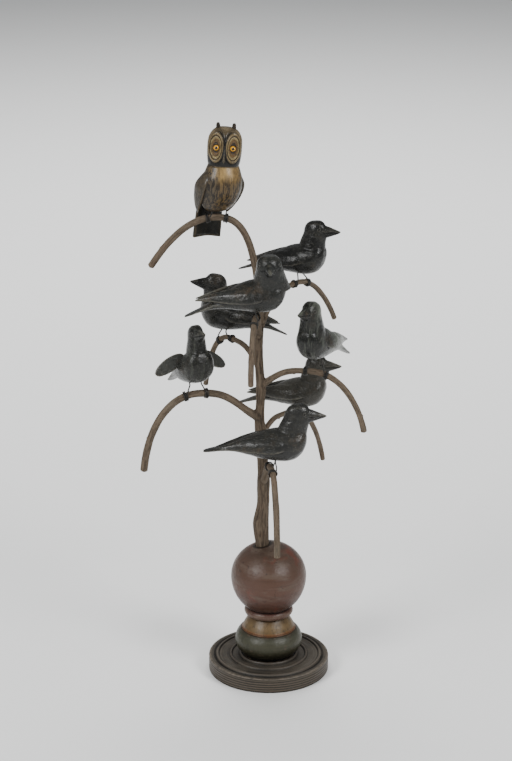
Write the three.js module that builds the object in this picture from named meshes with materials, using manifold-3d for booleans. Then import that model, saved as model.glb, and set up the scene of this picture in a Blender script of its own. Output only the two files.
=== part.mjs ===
// Bird tree: a turned plinth and stand carry a sapling whose branches arch up and droop.
// An owl and seven black birds perch on the branches, each bound on by its two wire legs.
// Millimetres, +Z up, -Y toward the viewer, origin at the centre of the plinth's underside.
import * as THREE from 'three';
import { mergeVertices } from 'three/addons/utils/BufferGeometryUtils.js';
import Module from 'manifold-3d';

const wasm = await Module();
wasm.setup();

// Clearances between pieces
const restGap = 0.3;
const fitGap = 0.3;

// Plinth disc
const discRadius = 75.4;
const rimHeight = 19;
const rimReeds = 3;
const rimReedDepth = 0.9;
const rimEdgeRound = 1.6;
const bandWidth = 7;
const bandStep = 1;
const ridgeRadii = [64.5, 47.5];
const ridgeHeight = 1.8;
const ridgeWidth = 3.4;
const seatBeadRadius = 35;
const seatBeadHeight = 3.4;
const seatBeadWidth = 3.4;

// Turned stand: cove at the foot, bulb, coned neck, ring and a ball that is widest above its middle
const footRadius = 30.6;
const footHeight = 6;
const bulbRadius = 42;
const bulbHeight = 37.7;
const neckFootRadius = 33.4;
const neckRadius = 22.6;
const neckHeight = 18;
const neckSwell = 0.8;
const ringRadius = 30.5;
const ringHeight = 10.9;
const ballRadius = 47;
const ballFlat = 27.2;
const ballRise = 43.2;
const ballFall = 50;
const socketDepth = 22;
const bulbWidest = 0.576;
const bulbLowerArc = 46;
const bulbUpperArc = 50;
const ringArc = 62;

// Trunk: height above the ball's top, sideways place and radius of each stretch
const trunkFootSide = -8.1;
const trunkFootRadius = 8.4;
const trunkStretches = [
  { height: 13, side: -9.0, radius: 9.2 },
  { height: 28, side: -10.0, radius: 9.9 },
  { height: 42, side: -8.4, radius: 8.5 },
  { height: 58, side: -6.9, radius: 7.5 },
  { height: 84, side: -6.7, radius: 7.8 },
  { height: 98, side: -7.2, radius: 6.8 },
  { height: 126, side: -8.8, radius: 6.7 },
  { height: 149, side: -9.9, radius: 7.3 },
  { height: 164, side: -11.7, radius: 6.1 },
  { height: 187, side: -10.3, radius: 5.4 },
  { height: 202, side: -9.7, radius: 6.1 },
  { height: 226, side: -11.7, radius: 5.2 },
  { height: 240, side: -12.8, radius: 5.4 },
  { height: 259, side: -12.3, radius: 4.9 },
  { height: 276, side: -11.2, radius: 4.4 },
  { height: 290, side: -10.4, radius: 3.9 },
];

// Branches: each leaves the trunk at its root, arches up to its apex and droops to its tip.
// Heights are above the ball's top; apex and tip are [reach from the trunk, height].
const branches = {
  leader: {
    azimuth: 180, diameter: 8.4, leave: 88, droop: 56.5, bow: 0.79, fallSpread: 0.46,
    root: 285, apex: [51.2, 418.2], tip: [132, 355.6],
  },
  upperBack: {
    azimuth: 50, diameter: 6.6, leave: 52, droop: 64, fallSpread: 0.41,
    root: 282, apex: [71.3, 321.4], tip: [145.7, 256.7],
  },
  upperFront: {
    azimuth: 264, diameter: 7.2, leave: 50, droop: 88,
    root: 270, apex: [52, 307], tip: [100, 239],
  },
  middleBack: {
    azimuth: 130, diameter: 6.6, leave: 38, droop: 80,
    root: 232, apex: [56, 254.5], tip: [104, 180],
  },
  middleRight: {
    azimuth: 348, diameter: 7.4, leave: 37.6, droop: 79, bow: 0.45,
    root: 207, apex: [61, 230], tip: [127.9, 155.9],
  },
  lowerLeft: {
    azimuth: 194, diameter: 9.0, leave: 30.4, droop: 85.7, bow: 0.44, fallSpread: 0.59,
    root: 166, apex: [77.2, 203.6], tip: [144.6, 108.1],
  },
  lowerBack: {
    azimuth: 53, diameter: 6.4, leave: 36.9, droop: 78, bow: 0.56, fallSpread: 0.41,
    root: 142, apex: [62.1, 157.1], tip: [131.6, 69.5],
  },
  lowerFront: {
    azimuth: 279, diameter: 7.8, leave: 48, droop: 90,
    root: 80, apex: [64, 121], tip: [103, 23],
  },
};
const rootFlare = 1.45;
const rootFlareLength = 7;
const usualBow = 0.52;
const crownSpread = 0.55;
const tipBow = 0.52;

// Wire legs: each winds round its branch and rises into a drilled socket
const wireDiameter = 1.6;
const wireTurns = 1.25;
const wirePitch = 2.1;
const socketHole = 6.5;

// Birds: one carving pattern, in hundredths of the bird's length from beak to tail
const birdLength = 153;
const birdStance = 26;
const birdLegSpread = 7.5;
const birds = {
  upper_right_bird: {
    branch: 'upperBack', reach: 77, facing: -22, pitch: 5, lead: -1, legHeight: 7.5,
    size: 0.93, tailDrop: 0.1, wingDrop: 0.05,
  },
  upper_front_bird: {
    branch: 'upperFront', reach: 53, facing: -4, pitch: 4, lead: 1.5, legHeight: 6.8,
    size: 0.98, tailDrop: 0.2, wingDrop: 0.03, headTurn: -84, headBreadth: 1.5,
  },
  upper_left_bird: {
    branch: 'middleBack', reach: 64, facing: 197, pitch: 14, lead: 1.5, legHeight: 6.5,
    size: 0.94, tailDrop: 0.08,
  },
  middle_right_bird: {
    branch: 'middleRight', reach: 68, facing: 241, pitch: 12, legHeight: 12.8,
    size: 1, tailDrop: 0.16, headBreadth: 1.08, bodyBreadth: 0.86,
  },
  spread_wing_bird: {
    branch: 'lowerLeft', reach: 79.5, facing: 294, pitch: 22, legHeight: 8.5,
    size: 0.96, headTurn: -2, headBreadth: 0.94, spread: true,
  },
  lower_right_bird: {
    branch: 'lowerBack', reach: 84, facing: -13, pitch: 4, lead: -2, legHeight: 5,
    size: 0.92, tailDrop: 0.12,
  },
  lower_front_bird: {
    branch: 'lowerFront', reach: 57, facing: 0, lead: 5.2, legHeight: 7.6,
    size: 1, wingDrop: 0.1,
  },
};
const dropStart = -13;
const wingLean = 32;

// Body sections from tail tip to breast: [along, middle height, half height, half width]
const bodySections = [
  [-56.8, 7.5, 0.5, 2.2],
  [-52.8, 8.2, 0.8, 4.4],
  [-42.6, 10.0, 1.6, 5.8],
  [-33.0, 11.6, 3.6, 7.2],
  [-21.5, 12.7, 7.3, 10.4],
  [-8.5, 13.1, 11.3, 13.2],
  [4.5, 13.4, 13.4, 14.4],
  [14.8, 14.2, 12.8, 13.0],
  [21.4, 16.8, 9.4, 9.6],
  [24.6, 18.7, 3.6, 3.9],
];
// Neck and head sections from breast to crown: [height, middle along, half length, half width]
const headSections = [
  [16.0, 11.3, 12.3, 10.8],
  [26.8, 13.6, 11.8, 8.6],
  [36.0, 16.9, 10.7, 7.0],
  [41.5, 17.5, 9.3, 6.3],
  [44.8, 17.9, 7.1, 4.8],
  [46.6, 18.3, 4.0, 2.7],
];
const neckAxis = 12.6;
// Beak sections from its root to its tip: [along, middle height, half height, half width]
const beakSections = [
  [19.0, 37.2, 6.6, 5.4],
  [26.6, 37.0, 5.4, 4.2],
  [33.0, 36.8, 3.2, 2.5],
  [40.2, 36.4, 0.6, 0.6],
];
// Folded wing sections from tip to shoulder: [along, out, height, half thickness, half height]
const wingSections = [
  [-47.5, 3.0, 13.2, 0.5, 0.6],
  [-34.0, 5.0, 15.0, 1.8, 3.4],
  [-17.0, 9.4, 16.1, 2.8, 6.3],
  [1.0, 11.8, 16.6, 3.0, 6.9],
  [13.5, 9.3, 17.6, 1.2, 2.4],
];

// Paddle wings of the spread bird; the root's place is in hundredths of the bird's length
const paddleLength = 42;
const paddleBreadth = 17;
const paddleThickness = 3.2;
const paddleRoot = { along: 0.7, out: 10.6, height: 22.8 };
const paddleSink = 6;
const paddleDrop = 28;
const paddleSweep = 17;
const paddleTilt = 8;

// Owl: one carving pattern, in hundredths of the owl's nominal height above its feet
const owlHeight = 105.5;
const owl = { branch: 'leader', reach: 51.5, facing: 297, lean: 4.6, legHeight: 2.5, stance: 22 };
const owlHeadTurn = -27;
const owlNeckAlong = 8.5;
const owlLegAlong = 6.2;
const owlLegSpread = 9.5;
// Body sections: [height, middle along, half depth, half width]
const owlBodySections = [
  [0.5, -3.8, 8.5, 10.9],
  [4.7, -1.9, 13.7, 15.6],
  [13.3, 1.4, 18.5, 20.4],
  [25.6, 5.2, 21.8, 23.2],
  [37, 7.6, 21.3, 23.2],
  [47.4, 8.3, 18.5, 20.4],
  [55, 8.5, 15.6, 17.8],
];
// Head sections about the owl's own neck axis
const owlHeadSections = [
  [52.1, 0, 14.2, 16.1],
  [59.7, 0, 16.3, 18.4],
  [70.1, 0, 17.4, 19.3],
  [82.5, 0, 17.3, 19.1],
  [89.8, 0, 15.2, 16.9],
  [95, 0, 11.2, 12.8],
  [97.8, 0, 4.7, 5.9],
];
// Folded wing from tip to shoulder: [height, along, out, half depth, half thickness]
const owlWingSections = [
  [-3.3, -10.4, 18.5, 1.1, 0.9],
  [5.7, -6.6, 21.2, 5.7, 2.5],
  [19, -0.9, 23.4, 10.4, 4],
  [34.1, 3.8, 23.2, 11.8, 4.4],
  [51.2, 7.6, 16.1, 3.3, 1.7],
];
const owlTail = {
  top: 22.7, tip: -35.1, back: 17.1, tipBack: 21.8,
  width: 34.1, taper: 1.9, thickness: 5.2, hollow: 2.3,
};
const faceDisc = {
  face: 16.1, root: 7.6, height: 76.8, apart: 19, splay: 22,
  halfWidth: 9.5, halfHeight: 17.6, proud: 1.4, dish: 1,
};
// Bill and brow ridge: [height, along, half depth, half width]
const billSections = [
  [60.2, 18.6, 1.1, 0.7],
  [65.9, 16.7, 3.4, 2.5],
  [75.8, 15.7, 3, 1.5],
  [89.1, 13.8, 1.4, 0.9],
];
// Glass eyes and ear tufts: real sizes; the eyes sit in their discs, the tufts on the crown's curve
const owlEyeDiameter = 7;
const owlEyeProud = 0.2;
const owlEyeTowardBill = 0.5;
const earLength = 6.6;
const earDiameter = 4.8;
const earTipDiameter = 2.4;
const earSink = 5;
const earSplay = 4;
const earPlace = { out: 8.3, along: 1.4 };

/** Changes a closed three.js geometry into a solid that can be joined and cut. */
function solidOf(geometry) {
  const bare = geometry.clone();
  bare.deleteAttribute('normal');
  bare.deleteAttribute('uv');
  const merged = mergeVertices(bare, 1e-4);
  return new wasm.Manifold(new wasm.Mesh({
    numProp: 3,
    vertProperties: new Float32Array(merged.attributes.position.array),
    triVerts: new Uint32Array(merged.index.array),
  }));
}

/** Gives a solid back as a three.js geometry. */
function geometryOf(solid) {
  const mesh = solid.getMesh();
  const geometry = new THREE.BufferGeometry();
  geometry.setAttribute('position', new THREE.BufferAttribute(new Float32Array(mesh.vertProperties), 3));
  geometry.setIndex(new THREE.BufferAttribute(new Uint32Array(mesh.triVerts), 1));
  geometry.computeVertexNormals();
  return geometry;
}

/** Joins several solids into one. */
function joined(solids) {
  return solids.reduce((whole, solid) => whole.add(solid));
}

/** A closed body through oval rings; each ring has a centre and two half axes, across and up. */
function loft(rings, sides) {
  const geometry = new THREE.CylinderGeometry(1, 1, 1, sides, rings.length - 1);
  const position = geometry.attributes.position;
  const point = new THREE.Vector3();
  for (let index = 0; index < position.count; index += 1) {
    point.fromBufferAttribute(position, index);
    const ring = rings[Math.round((0.5 - point.y) * (rings.length - 1))];
    const placed = ring.centre.clone();
    placed.addScaledVector(ring.across, point.x).addScaledVector(ring.up, point.z);
    position.setXYZ(index, placed.x, placed.y, placed.z);
  }
  return geometry;
}

/** A turned body about +Z; the outline runs from the axis at the bottom to the axis at the top. */
function turned(outline, segments) {
  const points = outline.map(([radius, height]) => new THREE.Vector2(radius, height));
  return new THREE.LatheGeometry(points, segments).rotateX(Math.PI / 2);
}

const radians = THREE.MathUtils.degToRad;

/** Named mesh with its own finish. */
function piece(name, geometry, colour, roughness, metalness = 0) {
  const material = new THREE.MeshStandardMaterial({ color: colour, roughness, metalness });
  const mesh = new THREE.Mesh(geometry, material);
  mesh.name = name;
  return mesh;
}

// Plinth and stand

const discSegments = 20;
const standSegments = 20;
const bulbSteps = 3;
const neckSteps = 2;
const ringSteps = 3;
const ballLowerSteps = 3;
const ballUpperSteps = 5;

/** Outline of a raised round ridge on the disc's top, from its outer foot to its inner foot. */
function ridge(radius, width, height) {
  return [
    [radius + width / 2, rimHeight],
    [radius, rimHeight + height],
    [radius - width / 2, rimHeight],
  ];
}

/** The disc: reeded rim, flat outer band, two raised ridges and a bead round the stand's seat. */
function plinthDisc() {
  const outline = [[0, 0], [discRadius - rimEdgeRound, 0]];
  const reedHeight = (rimHeight - 2 * rimEdgeRound) / rimReeds;
  for (let reed = 0; reed <= rimReeds; reed += 1) {
    const height = rimEdgeRound + reed * reedHeight;
    const middle = height + reedHeight / 2;
    outline.push([discRadius - (reed === 0 || reed === rimReeds ? 0 : rimReedDepth), height]);
    if (reed < rimReeds) outline.push([discRadius, middle]);
  }
  outline.push([discRadius - rimEdgeRound, rimHeight]);
  outline.push([discRadius - bandWidth, rimHeight]);
  outline.push([discRadius - bandWidth - bandStep, rimHeight - bandStep]);
  for (const radius of ridgeRadii) outline.push(...ridge(radius, ridgeWidth, ridgeHeight));
  outline.push(...ridge(seatBeadRadius, seatBeadWidth, seatBeadHeight));
  outline.push([0, rimHeight]);
  return turned(outline, discSegments);
}

/** Points of an arc in the outline, from one angle to another, without its first point. */
function arc(radius, height, radialSize, heightSize, from, to, steps) {
  const points = [];
  for (let step = 1; step <= steps; step += 1) {
    const angle = radians(from + ((to - from) * step) / steps);
    points.push([radius + radialSize * Math.cos(angle), height + heightSize * Math.sin(angle)]);
  }
  return points;
}

const standFoot = rimHeight + restGap;
const neckFoot = standFoot + bulbHeight;
const ringFoot = neckFoot + neckHeight;
const ringTop = ringFoot + ringHeight;
const ringBulge = ringHeight / 2;
const ringMiddle = ringFoot + ringBulge;
const ballFootAngle = Math.acos(ballFlat / ballRadius);
const ballCentre = ringTop + ballFall * Math.sin(ballFootAngle);
const ballTop = ballCentre + ballRise;

/** The stand: bulb on its cove, coned neck, ring and ball in one turning, drilled for the trunk. */
function turnedStand() {
  const bulge = (bulbRadius - neckFootRadius) / (1 - Math.cos(radians(bulbUpperArc)));
  const bulbCore = bulbRadius - bulge;
  const bulbFoot = standFoot + footHeight;
  const bulbMiddle = standFoot + bulbHeight * bulbWidest;
  const lower = (bulbMiddle - bulbFoot) / Math.sin(radians(bulbLowerArc));
  const upper = (neckFoot - bulbMiddle) / Math.sin(radians(bulbUpperArc));
  const neck = [];
  for (let step = 1; step <= neckSteps; step += 1) {
    const share = step / neckSteps;
    const swell = neckSwell * Math.sin(Math.PI * share);
    const radius = THREE.MathUtils.lerp(neckFootRadius, neckRadius, share) + swell;
    neck.push([radius, neckFoot + neckHeight * share]);
  }
  const ballFootTurn = THREE.MathUtils.radToDeg(ballFootAngle);
  const outline = [
    [0, standFoot],
    [footRadius, standFoot],
    [footRadius, bulbFoot],
    [bulbCore + bulge * Math.cos(radians(bulbLowerArc)), bulbFoot],
    ...arc(bulbCore, bulbMiddle, bulge, lower, -bulbLowerArc, 0, bulbSteps),
    ...arc(bulbCore, bulbMiddle, bulge, upper, 0, bulbUpperArc, bulbSteps),
    ...neck,
    ...arc(ringRadius - ringBulge, ringMiddle, ringBulge, ringBulge, -ringArc, ringArc, ringSteps),
    ...arc(0, ballCentre, ballRadius, ballFall, -ballFootTurn, 0, ballLowerSteps),
    ...arc(0, ballCentre, ballRadius, ballRise, 0, 90, ballUpperSteps).slice(0, -1),
    [0, ballTop],
  ];
  const drillRadius = (trunkFootRadius + fitGap) / Math.cos(Math.PI / trunkSides);
  const drill = new THREE.CylinderGeometry(drillRadius, drillRadius, 2 * socketDepth, trunkSides);
  drill.rotateX(Math.PI / 2).translate(trunkFootSide, 0, ballTop);
  return geometryOf(solidOf(turned(outline, standSegments)).subtract(solidOf(drill)));
}

// Tree

const trunkSides = 8;
const branchSides = 5;
const flareStation = 0.09;
const stationsBeforeFeet = 3;
const stationsAfterFeet = 4;
const reachSearches = 30;

const trunkFoot = { height: restGap - socketDepth, side: trunkFootSide, radius: trunkFootRadius };
const trunkMouth = { height: 0, side: trunkFootSide, radius: trunkFootRadius };
const trunkLine = [trunkFoot, trunkMouth, ...trunkStretches];

/** Centre of the trunk at a height above the ball's top. */
function trunkCentre(height) {
  const above = Math.max(1, trunkLine.findIndex((stretch) => stretch.height > height));
  const [low, high] = [trunkLine[above - 1], trunkLine[above]];
  const share = (height - low.height) / (high.height - low.height);
  return new THREE.Vector3(THREE.MathUtils.lerp(low.side, high.side, share), 0, ballTop + height);
}

/** A branch's centre line: a rising and a drooping curve in one upright plane. */
function branchCurve(branch) {
  const { azimuth, root, apex, tip, leave, droop, bow = usualBow, fallSpread = crownSpread } = branch;
  const start = trunkCentre(root);
  const out = new THREE.Vector3(Math.cos(radians(azimuth)), Math.sin(radians(azimuth)), 0);
  const at = (reach, height) => start.clone().addScaledVector(out, reach).setZ(ballTop + height);
  const rise = bow * Math.hypot(apex[0], apex[1] - root);
  const fall = [fallSpread * (tip[0] - apex[0]), tipBow * (apex[1] - tip[1])];
  const curve = new THREE.CurvePath();
  curve.add(new THREE.CubicBezierCurve3(
    at(0, root),
    at(rise * Math.cos(radians(leave)), root + rise * Math.sin(radians(leave))),
    at(apex[0] * (1 - crownSpread), apex[1]),
    at(...apex),
  ));
  curve.add(new THREE.CubicBezierCurve3(
    at(...apex),
    at(apex[0] + fall[0], apex[1]),
    at(tip[0] - fall[1] * Math.cos(radians(droop)), tip[1] + fall[1] * Math.sin(radians(droop))),
    at(...tip),
  ));
  return curve;
}

const curves = {};
for (const [name, branch] of Object.entries(branches)) curves[name] = branchCurve(branch);

/** Direction across a branch's plane, level with the floor. */
function acrossBranch(azimuth) {
  return new THREE.Vector3(-Math.sin(radians(azimuth)), Math.cos(radians(azimuth)), 0);
}

/** Shares of a branch's length where the two feet of a carving stand, on each side of its reach. */
function feetOf({ branch, reach, stance = birdStance }) {
  const curve = curves[branch];
  const root = trunkCentre(branches[branch].root);
  let low = 0;
  let high = 1;
  for (let step = 0; step < reachSearches; step += 1) {
    const middle = (low + high) / 2;
    if (curve.getPointAt(middle).sub(root).setZ(0).length() < reach) low = middle;
    else high = middle;
  }
  const half = stance / 2 / curve.getLength();
  return [low - half, low + half];
}

/** Shares of a branch's length where its rings lie: the root, the feet on it and on to the tip. */
function branchStations(name) {
  const [near, far] = feetOf([owl, ...Object.values(birds)].find((carving) => carving.branch === name));
  const stations = [0];
  for (let step = 0; step <= stationsBeforeFeet; step += 1) {
    stations.push(THREE.MathUtils.lerp(flareStation, near, step / stationsBeforeFeet));
  }
  stations.push(far);
  for (let step = 1; step <= stationsAfterFeet; step += 1) {
    stations.push(THREE.MathUtils.lerp(far, 1, step / stationsAfterFeet));
  }
  return stations;
}

/** One branch with a collar where it leaves the trunk and a square-cut tip. */
function branchSolid(name) {
  const { azimuth, diameter } = branches[name];
  const curve = curves[name];
  const length = curve.getLength();
  const across = acrossBranch(azimuth);
  const rings = branchStations(name).map((share) => {
    const centre = curve.getPointAt(share);
    const up = curve.getTangentAt(share).cross(across).normalize();
    const flare = 1 + (rootFlare - 1) * Math.exp(-(share * length) / rootFlareLength);
    const radius = (diameter / 2) * flare;
    return { centre, across: across.clone().multiplyScalar(radius), up: up.multiplyScalar(radius) };
  });
  return solidOf(loft(rings, branchSides));
}

/** The sapling: the trunk and its eight branches grown together. */
function tree() {
  const trunk = loft(trunkLine.map(({ height, side, radius }) => ({
    centre: new THREE.Vector3(side, 0, ballTop + height),
    across: new THREE.Vector3(radius, 0, 0),
    up: new THREE.Vector3(0, radius, 0),
  })), trunkSides);
  return geometryOf(joined([solidOf(trunk), ...Object.keys(branches).map(branchSolid)]));
}

// Carved birds

const bodySides = 7;
const headSides = 8;
const beakSides = 5;
const wingSides = 4;
const socketSides = 4;
const paddleSides = 8;
const paddleRows = 6;
const percent = birdLength / 100;

/** How far a tail or wing hangs below the pattern at a place along the bird. */
function dropAt(along, slope) {
  return Math.min(0, along - dropStart) * slope;
}

/** Rings that stand across the bird's length, from sections in hundredths of its length. */
function uprightRings(sections, slope, breadth = 1) {
  return sections.map(([along, height, halfHeight, halfWidth]) => ({
    centre: new THREE.Vector3(along, 0, height + dropAt(along, slope)).multiplyScalar(percent),
    across: new THREE.Vector3(0, halfWidth * percent * breadth, 0),
    up: new THREE.Vector3(0, 0, halfHeight * percent),
  }));
}

/** Rings that lie level, for the neck and head, widened by a breadth factor. */
function levelRings(sections, breadth) {
  return sections.map(([height, along, halfLength, halfWidth]) => ({
    centre: new THREE.Vector3(along, 0, height).multiplyScalar(percent),
    across: new THREE.Vector3(halfLength * percent, 0, 0),
    up: new THREE.Vector3(0, halfWidth * percent * breadth, 0),
  }));
}

/** A folded wing on the bird's left (side 1) or right (side -1), with its tip standing free. */
function foldedWing(side, slope, breadth) {
  const lean = radians(wingLean);
  const outward = new THREE.Vector3(0, Math.cos(lean), side * Math.sin(lean));
  const upward = new THREE.Vector3(0, -side * Math.sin(lean), Math.cos(lean));
  const rings = wingSections.map(([along, out, height, halfThickness, halfHeight]) => ({
    centre: new THREE.Vector3(along, side * out * breadth, height + dropAt(along, slope))
      .multiplyScalar(percent),
    across: outward.clone().multiplyScalar(halfThickness * percent),
    up: upward.clone().multiplyScalar(halfHeight * percent),
  }));
  return solidOf(loft(rings, wingSides));
}

/** Drilled hole for a leg, upright in the carving's own frame, from below its belly line. */
function legSocket(along, out) {
  const radius = (wireDiameter / 2 + fitGap) / Math.cos(Math.PI / socketSides);
  const hole = new THREE.CylinderGeometry(radius, radius, 2 * socketHole, socketSides);
  return solidOf(hole.rotateX(Math.PI / 2).translate(along, out, 0));
}

/** One black bird in its own frame: +X forward, origin under the belly between its legs. */
function birdSolid(bird) {
  const { size, headTurn = 0, headBreadth = 1, bodyBreadth = 1, tailDrop = 0, wingDrop = 0 } = bird;
  const turn = new THREE.Matrix4()
    .makeTranslation(neckAxis * percent, 0, 0)
    .multiply(new THREE.Matrix4().makeRotationZ(radians(headTurn)))
    .multiply(new THREE.Matrix4().makeTranslation(-neckAxis * percent, 0, 0));
  const parts = [
    solidOf(loft(uprightRings(bodySections, tailDrop, bodyBreadth), bodySides)),
    solidOf(loft(levelRings(headSections, headBreadth), headSides).applyMatrix4(turn)),
    solidOf(loft(uprightRings(beakSections, 0), beakSides).applyMatrix4(turn)),
  ];
  if (!bird.spread) {
    for (const side of [1, -1]) parts.push(foldedWing(side, wingDrop, bodyBreadth));
  }
  let whole = solidOf(geometryOf(joined(parts)).scale(size, size, size));
  for (const side of [-1, 1]) whole = whole.subtract(legSocket(0, side * birdLegSpread));
  return whole;
}

/** A paddle wing of the spread bird, let into its shoulder, grown by a clearance for the cut. */
function paddle({ size }, side, grow = 0) {
  const shape = new THREE.SphereGeometry(1, paddleSides, paddleRows);
  shape.scale(paddleBreadth / 2 + grow, paddleLength / 2 + grow, paddleThickness / 2 + grow);
  shape.translate(0, paddleLength / 2 - paddleSink, 0);
  const [drop, sweep, tilt] = [radians(paddleDrop), radians(paddleSweep), radians(paddleTilt)];
  const span = side * Math.cos(sweep) * Math.cos(drop);
  const outward = new THREE.Vector3(-Math.sin(sweep), span, -Math.sin(drop));
  const face = new THREE.Vector3(Math.cos(tilt), 0, Math.sin(tilt));
  const chord = new THREE.Vector3().crossVectors(outward.normalize(), face).normalize();
  face.crossVectors(chord, outward);
  shape.applyMatrix4(new THREE.Matrix4().makeBasis(chord, outward, face));
  const { along, out, height } = paddleRoot;
  const scale = percent * size;
  return shape.translate(scale * along, scale * side * out, scale * height);
}

/** Where a perched carving stands: its own frame above the middle of its feet. */
function perch(carving) {
  const { branch, facing, legHeight, pitch = 0, lean = 0, lead = 0 } = carving;
  const [near, far] = feetOf(carving);
  const seat = curves[branch].getPointAt((near + far) / 2);
  seat.z += branches[branch].diameter / 2 + legHeight;
  return new THREE.Matrix4()
    .makeTranslation(seat.x, seat.y, seat.z)
    .multiply(new THREE.Matrix4().makeRotationZ(radians(facing)))
    .multiply(new THREE.Matrix4().makeRotationY(-radians(pitch)))
    .multiply(new THREE.Matrix4().makeRotationX(-radians(lean)))
    .multiply(new THREE.Matrix4().makeTranslation(lead, 0, 0));
}

// Wire legs

const wireSides = 4;
const turnSteps = 6;
const windingStart = 15;

/** A wire leg: a winding round the branch that ends in a straight leg up into the socket. */
function wireLeg(branch, share, frame, mouth) {
  const curve = curves[branch];
  const centre = curve.getPointAt(share);
  const along = curve.getTangentAt(share);
  const forward = new THREE.Vector3(1, 0, 0).transformDirection(frame);
  const side = forward.clone().addScaledVector(along, -forward.dot(along)).normalize();
  const up = new THREE.Vector3().crossVectors(side, along);
  if (up.z < 0) up.negate();
  const wireRadius = wireDiameter / 2;
  const chordShare = Math.cos(Math.PI / turnSteps);
  const standOff = (branches[branch].diameter / 2 + restGap + wireRadius) / chordShare;
  const toward = Math.sign(mouth.clone().applyMatrix4(frame).sub(centre).dot(along)) || 1;
  const steps = Math.round(wireTurns * turnSteps);
  const points = [];
  for (let step = 0; step <= steps; step += 1) {
    const angle = radians(windingStart - 360 * wireTurns * (1 - step / steps));
    const shift = toward * wirePitch * wireTurns * (step / steps - 0.5);
    points.push(centre.clone()
      .addScaledVector(side, standOff * Math.cos(angle))
      .addScaledVector(up, standOff * Math.sin(angle))
      .addScaledVector(along, shift));
  }
  for (const depth of [-wireDiameter / 2, socketHole - restGap]) {
    points.push(mouth.clone().setZ(depth).applyMatrix4(frame));
  }
  const path = new THREE.CatmullRomCurve3(points, false, 'centripetal');
  const section = new THREE.Shape();
  section.absarc(0, 0, wireRadius, 0, 2 * Math.PI);
  const chord = 2 * standOff * Math.sin(Math.PI / turnSteps);
  return new THREE.ExtrudeGeometry(section, {
    steps: Math.ceil(path.getLength() / chord),
    extrudePath: path,
    curveSegments: wireSides / 2,
  });
}

// Owl

const owlSides = 10;
const billSides = 6;
const tailEndSteps = 4;
const owlPercent = owlHeight / 100;

/** Level rings from sections in hundredths: [height, middle along, half depth, half width, out]. */
function owlRings(sections) {
  return sections.map(([height, along, halfDepth, halfWidth, out = 0]) => ({
    centre: new THREE.Vector3(along, out, height).multiplyScalar(owlPercent),
    across: new THREE.Vector3(halfDepth * owlPercent, 0, 0),
    up: new THREE.Vector3(0, halfWidth * owlPercent, 0),
  }));
}

/** The owl's folded wing, its tip beside the tail. */
function owlWing(side) {
  const sections = owlWingSections.map(([height, along, out, halfDepth, halfThickness]) => (
    [height, along, halfDepth, halfThickness, side * out]
  ));
  return solidOf(loft(owlRings(sections), wingSides));
}

/** The owl's square tail, hanging behind the branch, with a slightly hollow end. */
function owlTailSolid() {
  const { top, tip, width, taper, thickness, back, hollow, tipBack } = owlTail;
  const outline = new THREE.Shape();
  outline.moveTo(-width / 2 + taper, top);
  outline.lineTo(-width / 2, tip);
  outline.quadraticCurveTo(0, tip + 2 * hollow, width / 2, tip);
  outline.lineTo(width / 2 - taper, top);
  outline.closePath();
  const slab = new THREE.ExtrudeGeometry(outline, {
    depth: thickness, bevelEnabled: false, curveSegments: tailEndSteps,
  });
  slab.translate(0, 0, -thickness / 2).rotateX(Math.PI / 2).rotateZ(Math.PI / 2);
  const slope = Math.atan2(tipBack - back, top - tip);
  slab.translate(0, 0, -top).rotateY(slope).translate(-back, 0, top);
  return solidOf(slab.scale(owlPercent, owlPercent, owlPercent));
}

/** Place of a facial disc in the head's pattern: its axis splayed outward from the bill. */
function discPlace(side) {
  const { face, height, apart, splay } = faceDisc;
  const out = apart / 2 - face * Math.sin(radians(splay));
  return new THREE.Matrix4()
    .makeScale(owlPercent, owlPercent, owlPercent)
    .multiply(new THREE.Matrix4().makeTranslation(0, side * out, height))
    .multiply(new THREE.Matrix4().makeRotationZ(side * radians(splay)));
}

/** One facial disc: a shallow oval dish with a raised rim. */
function facialDisc(side) {
  const { face, root, halfWidth, halfHeight, proud, dish } = faceDisc;
  const ring = (along, size) => ({
    centre: new THREE.Vector3(along, 0, 0),
    across: new THREE.Vector3(0, halfWidth * size, 0),
    up: new THREE.Vector3(0, 0, halfHeight * size),
  });
  const rings = [ring(root, 0.9), ring(face, 1), ring(face + proud, 0.86), ring(face + proud - dish, 0.66)];
  return solidOf(loft(rings, owlSides).applyMatrix4(discPlace(side)));
}

/** Height of the crown's curve above a place on the head, in hundredths. */
function crownHeight({ along, out }) {
  const reach = ([, middle, halfDepth, halfWidth]) => (
    Math.hypot((along - middle) / halfDepth, out / halfWidth)
  );
  const above = owlHeadSections.findIndex((section, index) => index > 0 && reach(section) > 1);
  if (above < 0) return owlHeadSections.at(-1)[0];
  const [low, high] = [owlHeadSections[above - 1], owlHeadSections[above]];
  return THREE.MathUtils.mapLinear(1, reach(low), reach(high), low[0], high[0]);
}

/** An ear tuft: a thin pointed peg set in the crown. */
function earTuft(side, grow = 0) {
  const height = earLength + earSink;
  const cone = new THREE.CylinderGeometry(earTipDiameter / 2 + grow, earDiameter / 2 + grow, height, 6);
  return cone.rotateX(Math.PI / 2)
    .translate(0, 0, height / 2 - grow)
    .rotateX(-side * radians(earSplay))
    .translate(
      earPlace.along * owlPercent,
      side * earPlace.out * owlPercent,
      crownHeight(earPlace) * owlPercent - earSink,
    );
}

/** A glass eye, half sunk in the middle of its disc. */
function owlEyeBall(side, grow = 0) {
  const { face, proud, dish } = faceDisc;
  const place = new THREE.Vector3(face + proud - dish + owlEyeProud, -side * owlEyeTowardBill, 0);
  place.applyMatrix4(discPlace(side));
  return new THREE.SphereGeometry(owlEyeDiameter / 2 + grow, 8, 5)
    .rotateZ(Math.PI / 2)
    .translate(place.x, place.y, place.z);
}

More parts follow.
